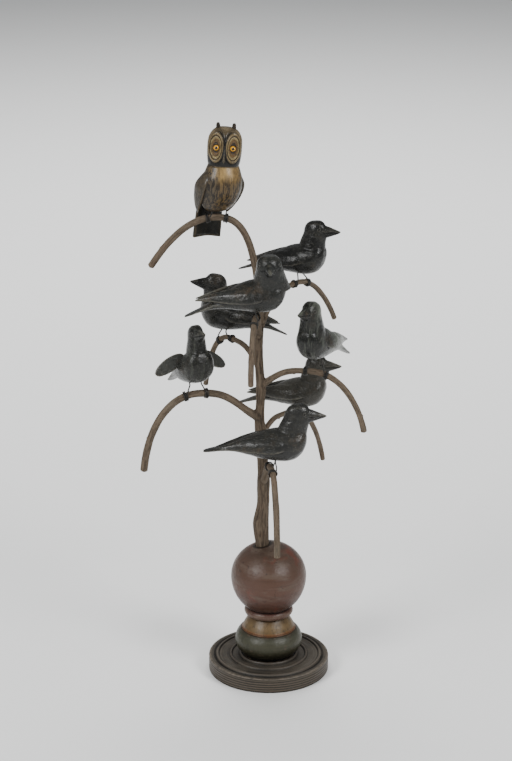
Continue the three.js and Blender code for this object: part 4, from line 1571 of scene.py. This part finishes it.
@dataclass
class Legs:
    """Two wire legs, each wound round the branch."""

    perch: Perch
    spread: float
    along: float = 0.0
    wire: float = 1.6
    play: float = 0.15
    turns: float = 2.5
    turn_steps: int = 16
    last_angle: float = 15.0
    pitch: float = 1.75
    lump: float = 0.06
    bends: Pairs = ((0.35, 0.7), (0.75, 0.4))
    socket: float = 6.0
    sides: int = 10

    def build(self, name: str, tree: Sapling, material: Material) -> None:
        """Makes both legs of a carving.

        Args:
            name: The carving's node.
            tree: The tree that it stands on.
            material: The wire's finish.
        """
        frame_of = self.perch.frame(tree)
        spine = tree.spines[self.perch.branch]
        reach = (tree.branches[self.perch.branch].diameter + self.wire) / 2 + self.play
        feet = tree.feet(self.perch.branch, self.perch.reach, self.perch.stance)
        left_is_far = spine.tangent(feet[0]).dot(frame_of.to_3x3() @ Vector((0, 1, 0))) > 0
        for side in Side:
            foot = feet[1 if (side is Side.LEFT) == left_is_far else 0]
            mouth = Vector((self.along, side.value * self.spread, 0))
            node = f"{name}_leg_{side.word}"
            wire = self._tube(self._path(spine, foot, reach, frame_of, mouth))
            show(f"{node}_wire", wire, material, node)

    def _path(self, spine: Spine, foot: float, reach: float, frame_of: Matrix, mouth: Vector) -> Array:
        """Line of the wire: its binding round the branch, then up into the belly.

        Args:
            spine: The branch's centre line.
            foot: Share of the branch's length where the binding is.
            reach: From there to the middle of the wire.
            frame_of: The carving's frame.
            mouth: Where the wire enters the belly, in that frame.

        Returns:
            The line's points.
        """
        centre, along = spine.at(foot), spine.tangent(foot)
        forward = frame_of.to_3x3() @ Vector((1, 0, 0))
        side = (forward - along * forward.dot(along)).normalized()
        up = side.cross(along)
        if up.z < 0:
            up.negate()
        toward = 1.0 if ((frame_of @ mouth) - centre).dot(along) >= 0 else -1.0
        steps = int(self.turns * self.turn_steps)
        points = []
        for step in range(steps + 1):
            share = step / steps
            turn = radians(self.last_angle) - tau * self.turns * (1 - share)
            shift = toward * self.pitch * self.turns * (share - 0.5)
            lumpy = reach * (1 + self.lump * sin(turn * 2.3 + foot * 40))
            points.append(centre + side * (lumpy * cos(turn)) + up * (lumpy * sin(turn))
                          + along * shift)
        enter = frame_of @ Vector((mouth.x, mouth.y, -1.0))
        leave = frame_of @ (mouth + Vector((0, 0, self.socket)))
        last = points[-1]
        points += [last.lerp(enter, share) + side * out for share, out in self.bends]
        points += [enter, enter.lerp(leave, 0.5), leave]
        return np.array([list(point) for point in points])

    def _tube(self, path: Array) -> Mesh:
        """Round wire along a path.

        Args:
            path: The path's points.

        Returns:
            The mesh.
        """
        sharp = blended(path, np.linspace(0, len(path) - 1, 3 * len(path)))
        tangents = np.gradient(sharp, axis=0)
        tangents /= np.linalg.norm(tangents, axis=1)[:, None]
        across = np.cross(tangents[0], (0.2, 0.3, 0.9))
        rings = []
        for point, tangent in zip(sharp, tangents):
            across = across - tangent * (across @ tangent)
            across /= np.linalg.norm(across)
            up = np.cross(tangent, across)
            rings.append(ring(point, across * self.wire / 2, up * self.wire / 2))
        shape = bmesh.new()
        Loft(rings, self.sides, len(rings) - 1).add_to(shape)
        skin = Skin(kept(shape, "wire", outward=True))
        skin.mark_wear_and_shade(0.6)
        return skin.finished()


@dataclass(frozen=True)
class BirdPattern:
    """Sections of the carved bird, in hundredths of its length."""

    length: float = 153.0
    leg_spread: float = 7.5
    neck_axis: float = 12.6
    drop_start: float = -13.0
    wing_lean: float = 32.0
    # along, middle height, half height, half width
    body: Sections = (
        (-56.8, 7.5, 0.5, 2.2), (-52.8, 8.2, 0.8, 4.4), (-42.6, 10.0, 1.6, 5.8), (-33.0, 11.6, 3.6, 7.2),
        (-21.5, 12.7, 7.3, 10.4), (-8.5, 13.1, 11.3, 13.2), (4.5, 13.4, 13.4, 14.4),
        (14.8, 14.2, 12.8, 13.0), (21.4, 16.8, 9.4, 9.6), (24.6, 18.7, 3.6, 3.9),
    )
    # height, middle along, half length, half width
    head: Sections = (
        (16.0, 11.3, 12.3, 10.8), (26.8, 13.6, 11.8, 8.6), (36.0, 16.9, 10.7, 7.0),
        (41.5, 17.5, 9.3, 6.3), (44.8, 17.9, 7.1, 4.8), (46.6, 18.3, 4.0, 2.7),
    )
    # along, middle height, half height, half width
    beak: Sections = (
        (19.0, 37.2, 6.6, 5.4), (26.6, 37.0, 5.4, 4.2), (33.0, 36.8, 3.2, 2.5), (40.2, 36.4, 0.6, 0.6),
    )
    # along, out, height, half thickness, half height
    wing: Sections = (
        (-47.5, 3.0, 13.2, 0.5, 0.6), (-34.0, 5.0, 15.0, 1.8, 3.4), (-17.0, 9.4, 16.1, 2.8, 6.3),
        (1.0, 11.8, 16.6, 3.0, 6.9), (13.5, 9.3, 17.6, 1.2, 2.4),
    )
    eye: Pair = (22.6, 39.6)
    eye_socket: float = 1.9
    mouth: Pair = (25.0, 36.6)
    mouth_slope: float = 0.05
    mouth_width: float = 0.55
    quills: Pair = (0.36, 0.66)


@dataclass
class CarvedBird:
    """One black bird on its branch."""

    node: str
    perch: Perch
    paint: BlackPaint
    size: float = 1.0
    tail_drop: float = 0.0
    wing_drop: float = 0.0
    head_turn: float = 0.0
    head_breadth: float = 1.0
    body_breadth: float = 1.0
    paddle_paint: BlackPaint | None = None
    voxel: float = 0.9
    pattern: BirdPattern = field(default_factory=BirdPattern)

    @property
    def scale(self) -> float:
        """Millimetres to one hundredth of the bird's length."""
        return self.pattern.length / 100 * self.size

    def _drop(self, along: float, slope: float) -> float:
        """How far a tail or wing hangs below the pattern."""
        return min(0.0, along - self.pattern.drop_start) * slope

    def _lying(self, sections: Sections, slope: float = 0.0, breadth: float = 1.0) -> list[Ring]:
        """Upright ovals of a lying form whose rear hangs, from its sections."""
        return [ring((along, 0, height + self._drop(along, slope)), (0, width * breadth, 0), (0, 0, depth))
                for along, height, depth, width in sections]

    def build(self, tree: Sapling, wire: Material) -> None:
        """Makes the bird, its paddle wings if it has them, and its legs.

        Args:
            tree: The tree that it stands on.
            wire: The finish of its legs.
        """
        frame_of, paint, pattern = self.perch.frame(tree), self.paint.material(), self.pattern
        parts = bmesh.new()
        grow = Matrix.Scale(self.scale, 4)
        Loft(self._lying(pattern.body, self.tail_drop, self.body_breadth), 36, 72).add_to(parts, grow)
        axis = Matrix.Translation((pattern.neck_axis, 0, 0))
        nod = axis @ turned(self.head_turn, "Z") @ axis.inverted()
        Loft(standing(pattern.head, self.head_breadth), 32, 40).add_to(parts, grow @ nod)
        Loft(self._lying(pattern.beak), 24, 30).add_to(parts, grow @ nod)
        if not self.paddle_paint:
            for side in Side:
                Loft(self._wing_rings(side), 28, 56, corner=1.6).add_to(parts, grow)
        skin = Skin(fused(parts, self.voxel))
        skin.relax(3)
        self._carve(skin, nod)
        show(f"{self.node}_carved", skin.finished(frame_of), paint, self.node)
        if self.paddle_paint:
            SpreadWings(self.scale).build(frame_of, self.paddle_paint.material(), self.voxel)
        Legs(self.perch, pattern.leg_spread).build(self.node, tree, wire)

    def _wing_rings(self, side: Side) -> list[Ring]:
        """Sections of a folded wing that leans in toward the back.

        Args:
            side: Which wing.

        Returns:
            The sections.
        """
        lean = radians(self.pattern.wing_lean)
        outward = np.array([0, cos(lean), side.value * sin(lean)])
        upward = np.array([0, -side.value * sin(lean), cos(lean)])
        rings = []
        for along, out, height, half_thick, half_height in self.pattern.wing:
            centre = (along, side.value * out * self.body_breadth, height + self._drop(along, self.wing_drop))
            rings.append(ring(centre, outward * half_thick, upward * half_height))
        return rings

    def _wing_edges(self, side: Side) -> tuple[Array, Array]:
        """Lower and upper edges of a folded wing, in the bird's own frame."""
        rings = blended(np.array(self._wing_rings(side)), np.linspace(0, len(self.pattern.wing) - 1, 24))
        return (rings[:, 0] - rings[:, 2]) * self.scale, (rings[:, 0] + rings[:, 2]) * self.scale

    def _carve(self, skin: Skin, nod: Matrix) -> None:
        """Cuts the knife facets and wing lines, and stores what the paint follows.

        Args:
            skin: The bird's fused skin.
            nod: Turn of the head in the bird's frame.
        """
        pattern = self.pattern
        own = skin.points / self.scale
        head = through(nod.inverted(), own)
        amount = 0.28 * skin.cloud(0.09, 5.0) + 0.16 * skin.cloud(0.24, 8.0)
        edge = np.zeros(len(own))
        for side in () if self.paddle_paint else Side:
            lower, upper = self._wing_edges(side)
            amount -= 0.9 * skin.near(lower + np.array([0, -side.value * 0.6, -1.3]), 1.2)
            amount += 0.35 * skin.near(lower, 0.9)
            amount -= 0.25 * skin.near(upper + np.array([0, 0, 0.8]), 1.3)
            edge = np.maximum(edge, skin.near(lower, 1.1))
            for share in pattern.quills:
                quill = (lower * (1 - share) + upper * share)[2:15]
                quill = quill + np.array([0, side.value * self.scale * 1.6, self.scale * 0.8])
                amount -= 0.16 * skin.near(quill, 1.0)
        away = np.hypot(head[:, 0] - pattern.eye[0], head[:, 2] - pattern.eye[1])
        amount -= 0.35 * hump(away, 0, pattern.eye_socket) * (abs(head[:, 1]) > 2)
        line = pattern.mouth[1] - (head[:, 0] - pattern.mouth[0]) * pattern.mouth_slope
        front = (head[:, 0] > 24) & (head[:, 2] > 28)
        amount -= 0.3 * hump(head[:, 2], line, pattern.mouth_width) * front
        skin.push(amount)
        skin.mark_wear_and_shade(0.9)
        skin.keep(own=own / 100, head=head / 100, edge=np.clip(edge, 0, 1))


@dataclass
class SpreadWings:
    """Two paddle wings let into the shoulders of the spread bird."""

    scale: float
    length: float = 42.0
    breadth: float = 17.0
    thickness: float = 3.2
    root: Place = (0.7, 10.6, 22.8)
    sink: float = 6.0
    drop: float = 28.0
    sweep: float = 17.0
    tilt: float = 8.0
    dish: float = 0.9
    bowl: float = 0.82
    rim: Pair = (0.97, 0.08)
    finer: float = 0.7

    def build(self, frame_of: Matrix, paint: Material, voxel: float) -> None:
        """Makes both wings.

        Args:
            frame_of: The bird's frame.
            paint: Their finish.
            voxel: Voxel of the bird's skin.
        """
        for side in Side:
            place = self._place(side)
            parts = bmesh.new()
            bmesh.ops.create_uvsphere(parts, u_segments=48, v_segments=32, radius=1.0, matrix=place)
            skin = Skin(fused(parts, voxel * self.finer))
            skin.relax(2)
            flat = through(place.inverted(), skin.points)
            reach = np.hypot(flat[:, 0], flat[:, 1])
            face = np.clip(flat[:, 2] * 3, 0, 1)
            bowl = np.clip(1 - (reach / self.bowl) ** 4, 0, 1)
            skin.push(-self.dish * bowl * face + 0.2 * skin.cloud(0.12, 4.0))
            skin.mark_wear_and_shade(0.8)
            own = skin.points / self.scale
            skin.keep(own=own / 100, head=np.zeros_like(own), edge=hump(reach, *self.rim))
            node = f"spread_wing_{side.word}"
            show(f"{node}_carved", skin.finished(frame_of), paint, node)

    def _place(self, side: Side) -> Matrix:
        """Turns a unit ball into the wing, in the bird's own frame.

        Args:
            side: Which wing.

        Returns:
            The placing matrix.
        """
        drop, sweep, tilt = (radians(angle) for angle in (self.drop, self.sweep, self.tilt))
        span = side.value * cos(sweep) * cos(drop)
        outward = Vector((-sin(sweep), span, -sin(drop))).normalized()
        chord = outward.cross(Vector((cos(tilt), 0, sin(tilt)))).normalized()
        turn = Matrix((chord, outward, chord.cross(outward))).transposed().to_4x4()
        along, out, height = (self.scale * value for value in self.root)
        size = Matrix.Diagonal((self.breadth / 2, self.length / 2, self.thickness / 2, 1))
        return (Matrix.Translation((along, side.value * out, height)) @ turn
                @ Matrix.Translation((0, self.length / 2 - self.sink, 0)) @ size)


@dataclass
class Owl:
    """The owl with its glass eyes and ear tufts."""

    perch: Perch = Perch("leader", 51.5, 297, 2.5, lean=4.6, stance=22)
    height: float = 105.5
    head_turn: float = -27.0
    neck_along: float = 8.5
    leg_along: float = 6.2
    leg_spread: float = 9.5
    voxel: float = 0.75
    # height, middle along, half depth, half width
    body: Sections = (
        (0.5, -3.8, 8.5, 10.9), (4.7, -1.9, 13.7, 15.6), (13.3, 1.4, 18.5, 20.4), (25.6, 5.2, 21.8, 23.2),
        (37, 7.6, 21.3, 23.2), (47.4, 8.3, 18.5, 20.4), (55, 8.5, 15.6, 17.8),
    )
    head: Sections = (
        (52.1, 0, 14.2, 16.1), (59.7, 0, 16.3, 18.4), (70.1, 0, 17.4, 19.3), (82.5, 0, 17.3, 19.1),
        (89.8, 0, 15.2, 16.9), (95, 0, 11.2, 12.8), (97.8, 0, 4.7, 5.9),
    )
    bill: Sections = (
        (60.2, 18.6, 1.1, 0.7), (65.9, 16.7, 3.4, 2.5), (75.8, 15.7, 3.0, 1.5), (89.1, 13.8, 1.4, 0.9),
    )
    # height, along, out, half depth, half thickness
    wing: Sections = (
        (-3.3, -10.4, 18.5, 1.1, 0.9), (5.7, -6.6, 21.2, 5.7, 2.5), (19, -0.9, 23.4, 10.4, 4.0),
        (34.1, 3.8, 23.2, 11.8, 4.4), (51.2, 7.6, 16.1, 3.3, 1.7),
    )
    tail_top: float = 22.7
    tail_tip: float = -35.1
    tail_back: float = 17.1
    tail_tip_back: float = 21.8
    tail_width: float = 34.1
    tail_taper: float = 1.9
    tail_thickness: float = 5.2
    tail_hollow: float = 2.3
    tail_rim: Pair = (2.6, 4.4)
    # along the disc's axis, size
    disc: Pairs = (
        (7.6, 0.9), (14.0, 0.98), (16.2, 1.0), (17.1, 0.97), (17.5, 0.9), (17.4, 0.82), (16.9, 0.7),
        (16.6, 0.5), (16.5, 0.25),
    )
    disc_face: float = 16.1
    disc_height: float = 76.8
    disc_apart: float = 19.0
    disc_splay: float = 22.0
    disc_half_width: float = 9.5
    disc_half_height: float = 17.6
    disc_floor: float = 16.5
    # radius as a share of the disc's, depth, width
    disc_grooves: Places = (
        (0.94, 0.3, 0.035), (0.77, 0.32, 0.03), (0.62, 0.3, 0.03), (0.3, 0.4, 0.06))
    quills: tuple[float, ...] = (-0.55, -0.15, 0.25, 0.62)
    eye_diameter: float = 7.0
    eye_proud: float = 0.2
    eye_toward_bill: float = 0.5
    ear_length: float = 6.6
    ear_diameter: float = 4.8
    ear_sink: float = 5.0
    ear_splay: float = 4.0
    ear_place: Pair = (8.3, 1.4)
    ear_shape: Pairs = (
        (0.0, 1.0), (0.3, 1.03), (0.6, 0.98), (0.82, 0.86), (0.94, 0.66), (1.0, 0.4))
    ear_ribs: int = 7
    ear_rib_depth: float = 0.09

    @property
    def scale(self) -> float:
        """Millimetres to one hundredth of the owl's height."""
        return self.height / 100

    @property
    def head_frame(self) -> Matrix:
        """Place of the head's own frame in the owl's frame."""
        return Matrix.Translation((self.neck_along * self.scale, 0, 0)) @ turned(self.head_turn, "Z")

    def _disc_frame(self, side: Side) -> Matrix:
        """Place of a facial disc in the head's frame."""
        out = self.disc_apart / 2 - self.disc_face * sin(radians(self.disc_splay))
        return (Matrix.Scale(self.scale, 4) @ Matrix.Translation((0, side.value * out, self.disc_height))
                @ turned(side.value * self.disc_splay, "Z"))

    def _wing_rings(self, side: Side) -> list[Ring]:
        """Sections of a folded wing."""
        return [ring((along, side.value * out, height), (depth, 0, 0), (0, thick, 0))
                for height, along, out, depth, thick in self.wing]

    def build(self, tree: Sapling, wire: Material) -> None:
        """Makes the owl and all that is set in it.

        Args:
            tree: The tree that it stands on.
            wire: The finish of its legs.
        """
        frame_of = self.perch.frame(tree)
        parts = bmesh.new()
        grow = Matrix.Scale(self.scale, 4)
        Loft(standing(self.body), 48, 60).add_to(parts, grow)
        for side in Side:
            Loft(self._wing_rings(side), 28, 50, corner=1.7).add_to(parts, grow)
        self._add_tail(parts)
        Loft(standing(self.head), 48, 50).add_to(parts, self.head_frame @ grow)
        Loft(standing(self.bill), 20, 40, corner=1.6).add_to(parts, self.head_frame @ grow)
        disc = [ring((along, 0, 0), (0, self.disc_half_width * size, 0), (0, 0, self.disc_half_height * size))
                for along, size in self.disc]
        for side in Side:
            Loft(disc, 48, 48).add_to(parts, self.head_frame @ self._disc_frame(side))
        skin = Skin(fused(parts, self.voxel))
        skin.relax(2)
        self._carve(skin)
        show("owl_carved", skin.finished(frame_of), OwlPaint().material(), "owl")
        glass, felt = GlassEye().material(), EarFelt().material()
        for side in Side:
            self._eye(side, frame_of, glass)
            self._ear(side, frame_of, felt)
        Legs(self.perch, self.leg_spread, self.leg_along).build("owl", tree, wire)

    def _add_tail(self, parts: BMesh) -> None:
        """Adds the square tail that hangs behind the branch, hollow at its end.

        Args:
            parts: The owl's bodies.
        """
        drop, half = self.tail_top - self.tail_tip, self.tail_width / 2
        rings = []
        for step in range(9):
            share = step / 8
            width = half - self.tail_taper * (1 - share)
            rings.append(ring((0, 0, -share * drop), (self.tail_thickness / 2, 0, 0), (0, width, 0)))
        verts = Loft(rings, 56, 60, corner=7.0).add_to(parts)
        for vert in verts:
            share = -vert.co.z / drop
            vert.co.z += self.tail_hollow * (1 - (vert.co.y / half) ** 2) * max(0.0, share * 4 - 3)
        slope = Matrix.Rotation(atan2(self.tail_tip_back - self.tail_back, drop), 4, "Y")
        place = Matrix.Scale(self.scale, 4) @ Matrix.Translation((-self.tail_back, 0, self.tail_top)) @ slope
        bmesh.ops.transform(parts, matrix=place, verts=verts)

    def _carve(self, skin: Skin) -> None:
        """Cuts rings, quills and the tail's panel, and stores the paint's zones.

        Args:
            skin: The owl's fused skin.
        """
        own = skin.points / self.scale
        head = through(self.head_frame.inverted(), skin.points) / self.scale
        discs = self._disc_places(head)
        reach = np.hypot(discs[:, 0], discs[:, 1])
        on_disc = fade(reach, 1.02, 0.99) * discs[:, 2]
        amount = 0.22 * skin.cloud(0.1, 5.0) * (1 - on_disc)
        for radius, depth, width in self.disc_grooves:
            amount -= depth * hump(reach, radius, width) * on_disc
        rim = hump(reach, 1.06, 0.06) * (head[:, 0] > 6) * (1 - on_disc)
        wing, strokes = self._wings(skin, own)
        tail, tail_rim = self._tail(own)
        skin.push(amount - 0.5 * rim - 0.45 * strokes - 0.7 * tail * (1 - tail_rim))
        skin.mark_wear_and_shade(0.8)
        out, up = np.abs(head[:, 1]), head[:, 2]
        low = fade(up, 58, 64) * fade(up, 91, 88)
        bill_width = 1.3 + 1.5 * hump(up, 66, 7)
        bill = np.clip((bill_width + 0.6 - out) / 0.8, 0, 1) * low * (head[:, 0] > 10)
        beard = fade(reach, 0.97, 1.02) * fade(up, 68.5, 64.5) * (head[:, 0] > 5) * fade(up, 54, 56)
        skin.keep(own=own / 100, wing=wing, tail=tail, crown=fade(own[:, 2], 53.5, 56.5),
                  bill=np.clip(bill + beard, 0, 1), ridge=fade(out, 0.9, 0.3) * low * (up < 80),
                  groove=np.clip(np.maximum(0.6 * rim, 0.75 * strokes), 0, 1),
                  disc=np.column_stack([discs[:, 0], discs[:, 1], np.zeros(len(own)), on_disc]))

    def _disc_places(self, head: Array) -> Array:
        """Place of each point on the nearer facial disc.

        Args:
            head: The points in the head's frame, in hundredths of the owl's height.

        Returns:
            Two shares of the disc's radius, and 1 where the point is on its front.
        """
        found = np.full((len(head), 3), 9.0)
        best = np.full(len(head), FAR)
        for side in Side:
            flat = through(self._disc_frame(side).inverted(), head * self.scale)
            place = np.stack([flat[:, 1] / self.disc_half_width, flat[:, 2] / self.disc_half_height,
                              flat[:, 0] > 11], 1)
            reach = np.hypot(place[:, 0], place[:, 1])
            closer = reach < best
            best[closer] = reach[closer]
            found[closer] = place[closer]
        return found

    def _wings(self, skin: Skin, own: Array) -> tuple[Array, Array]:
        """Marks of the wings.

        Args:
            skin: The owl's fused skin.
            own: Its points, in hundredths of the owl's height.

        Returns:
            Masks of the wings and of the grooves between their quills.
        """
        line = blended(np.array(self._wing_rings(Side.LEFT)), np.linspace(0, len(self.wing) - 1, 24))
        middle, depth, out = (np.interp(own[:, 2], line[:, 0, 2], values)
                              for values in (line[:, 0, 0], line[:, 1, 0], line[:, 0, 1]))
        inside = np.clip((1.03 - np.abs(own[:, 0] - middle) / depth) / 0.06, 0, 1)
        beside = np.clip((np.abs(own[:, 1]) - out + 3.4) / 1.2, 0, 1)
        wing = inside * beside * fade(own[:, 2], -3.5, -2.5) * fade(own[:, 2], 52, 49)
        strokes = np.zeros(len(own))
        for side in Side:
            for share in self.quills:
                quill = line[:, 0] + line[:, 1] * share + line[:, 2] * 0.9
                quill[:, 1] *= side.value
                strokes = np.maximum(strokes, skin.near(quill[1:15] * self.scale, 0.75))
        return wing, strokes * wing

    def _tail(self, own: Array) -> tuple[Array, Array]:
        """Masks of the tail and of its raised rim, from places in hundredths of the height."""
        rim = ((np.abs(np.abs(own[:, 1]) - self.tail_width / 2) < self.tail_rim[0])
               | (own[:, 2] < self.tail_tip + self.tail_rim[1]))
        return fade(own[:, 0], -12.5, -14) * fade(own[:, 2], 21, 18), rim.astype(float)

    def _eye(self, side: Side, frame_of: Matrix, glass: Material) -> None:
        """Makes a glass eye with its pupil toward the bill's front.

        Args:
            side: Which eye.
            frame_of: The owl's frame.
            glass: Its finish.
        """
        along = self.disc_floor + self.eye_proud
        centre = self._disc_frame(side) @ Vector((along, -side.value * self.eye_toward_bill, 0))
        shape = bmesh.new()
        bmesh.ops.create_uvsphere(shape, u_segments=40, v_segments=28, radius=1.0, matrix=turned(90, "Y"))
        skin = Skin(kept(shape, "eye"))
        skin.keep(gaze=skin.points)
        seat = Matrix.Translation(centre) @ Matrix.Scale(self.eye_diameter / 2, 4)
        node = f"owl_eye_{side.word}"
        show(f"{node}_glass", skin.finished(frame_of @ self.head_frame @ seat), glass, node)

    def _ear(self, side: Side, frame_of: Matrix, felt: Material) -> None:
        """Makes an ear tuft: a small ribbed peg with a rounded tip.

        Args:
            side: Which ear.
            frame_of: The owl's frame.
            felt: Its finish.
        """
        out, along = self.ear_place
        reach = [hypot((along - middle) / depth, out / width) for _, middle, depth, width in self.head]
        crown = float(np.interp(1.0, reach[3:], [section[0] for section in self.head[3:]]))
        whole, half = self.ear_length + self.ear_sink, self.ear_diameter / 2
        shape = bmesh.new()
        rings = [(whole * share, 0, half * size, half * size) for share, size in self.ear_shape]
        for vert in Loft(standing(rings), 28, 30).add_to(shape):
            turn = atan2(vert.co.y, vert.co.x)
            rib = 1 + self.ear_rib_depth * sin(turn * self.ear_ribs + vert.co.z * 0.5)
            vert.co.x, vert.co.y = vert.co.x * rib, vert.co.y * rib
        seat = (along * self.scale, side.value * out * self.scale, crown * self.scale - self.ear_sink)
        splay = turned(-side.value * self.ear_splay, "X")
        place = frame_of @ self.head_frame @ Matrix.Translation(seat) @ splay
        node = f"owl_ear_{side.word}"
        show(f"{node}_tuft", Skin(kept(shape, "ear", outward=True)).finished(place), felt, node)


# Studio


@dataclass(frozen=True)
class Softbox:
    """One soft light and the point that it aims at."""

    name: str
    place: Place
    aim: Place
    size: float
    power: float
    spread: float = 180.0
    glossy: bool = True

    def build(self) -> None:
        """Hangs the light."""
        data = bpy.data.lights.new(self.name, "AREA")
        data.energy = self.power
        data.size = self.size
        data.spread = radians(self.spread)
        light = linked(self.name, data)
        light.location = self.place
        light.visible_glossy = self.glossy
        toward = Vector(self.aim) - Vector(self.place)
        light.rotation_euler = toward.to_track_quat("-Z", "Y").to_euler()


@dataclass
class Studio:
    """Paper floor, soft lights and the camera."""

    camera_place: Place = (-0.0159, -2.522, 1.252)
    camera_pitch: float = 71.0
    lens: float = 104.07
    paper_radius: float = 24.0
    lights: tuple[Softbox, ...] = (
        Softbox("left_softbox", (-1.9, -1.7, 2.0), (0, 0, 0.35), 1.0, 70.0),
        Softbox("right_softbox", (1.9, -1.6, 2.0), (0, 0, 0.35), 1.0, 62.0),
        Softbox("far_softbox", (0, 2.4, 3.0), (0, 2.0, 0), 2.6, 78.0, 120.0, glossy=False),
    )
    sky: Colour = (0.86, 0.88, 0.9)
    sky_strength: float = 0.38

    def build(self) -> None:
        """Lays the paper, lights it and sets the camera."""
        sheet = bmesh.new()
        bmesh.ops.create_circle(sheet, cap_ends=True, segments=96, radius=self.paper_radius)
        paper = linked("studio_paper", kept(sheet, "studio_paper"))
        paper.data.materials.append(StudioPaper().material())
        for light in self.lights:
            light.build()
        self._sky()
        lens = bpy.data.cameras.new("front_view")
        lens.lens = self.lens
        camera = linked("front_view", lens)
        camera.location = self.camera_place
        camera.rotation_euler = (radians(self.camera_pitch), 0, 0)
        bpy.context.scene.camera = camera

    def _sky(self) -> None:
        """Fills the shadows with pale light."""
        world = bpy.data.worlds.new("studio_fill")
        world.use_nodes = True
        back = world.node_tree.nodes["Background"]
        back.inputs["Color"].default_value = (*self.sky, 1.0)
        back.inputs["Strength"].default_value = self.sky_strength
        bpy.context.scene.world = world


def flock() -> list[CarvedBird]:
    """The seven black birds, each with its own perch, pose and wear."""
    return [
        CarvedBird("upper_right_bird", Perch("upperBack", 77, -22, 7.5, pitch=5, lead=-1),
                   BlackPaint("upper right black", base=tone(17, 17, 16), rub_amount=0.22),
                   0.93, tail_drop=0.1, wing_drop=0.05),
        CarvedBird("upper_front_bird", Perch("upperFront", 53, -4, 6.8, pitch=4, lead=1.5),
                   BlackPaint("upper front black", rub=tone(98, 96, 86), brown=0.5),
                   0.98, tail_drop=0.2, wing_drop=0.03, head_turn=-84, head_breadth=1.5),
        CarvedBird("upper_left_bird", Perch("middleBack", 64, 197, 6.5, pitch=14, lead=1.5),
                   BlackPaint("upper left black", base=tone(15, 15, 14), rub_amount=0.2),
                   0.94, tail_drop=0.08),
        CarvedBird("middle_right_bird", Perch("middleRight", 68, 241, 12.8, pitch=12),
                   BlackPaint("middle right black", rub=tone(100, 104, 93), rub_amount=0.3, streaks=0.3,
                              pale_back=0.6, gloss=0.15, base=tone(20, 21, 19)),
                   1.0, tail_drop=0.16, head_breadth=1.08, body_breadth=0.86),
        CarvedBird("spread_wing_bird", Perch("lowerLeft", 79.5, 294, 8.5, pitch=22),
                   BlackPaint("spread wing black", streaks=0.18, base=tone(22, 22, 20)),
                   0.96, head_turn=-2, head_breadth=0.94,
                   paddle_paint=BlackPaint("paddle wing grey", base=tone(52, 53, 50), rub_amount=0.7)),
        CarvedBird("lower_right_bird", Perch("lowerBack", 84, -13, 5, pitch=4, lead=-2),
                   BlackPaint("lower right black", base=tone(52, 50, 45), rub_amount=0.6),
                   0.92, tail_drop=0.12),
        CarvedBird("lower_front_bird", Perch("lowerFront", 57, 0, 7.6, lead=5.2),
                   BlackPaint("lower front black", gloss=0.16, base=tone(34, 34, 33)),
                   1.0, wing_drop=0.1),
    ]


def main() -> None:
    """Builds every piece and the studio."""
    logging.basicConfig(level=logging.INFO, format="%(message)s")
    Studio().build()
    base = TurnedBase()
    base.build()
    tree = Sapling(base.ball_top)
    tree.build()
    wire = DarkWire().material()
    for bird in flock():
        bird.build(tree, wire)
    Owl().build(tree, wire)


if __name__ == "__main__":
    main()
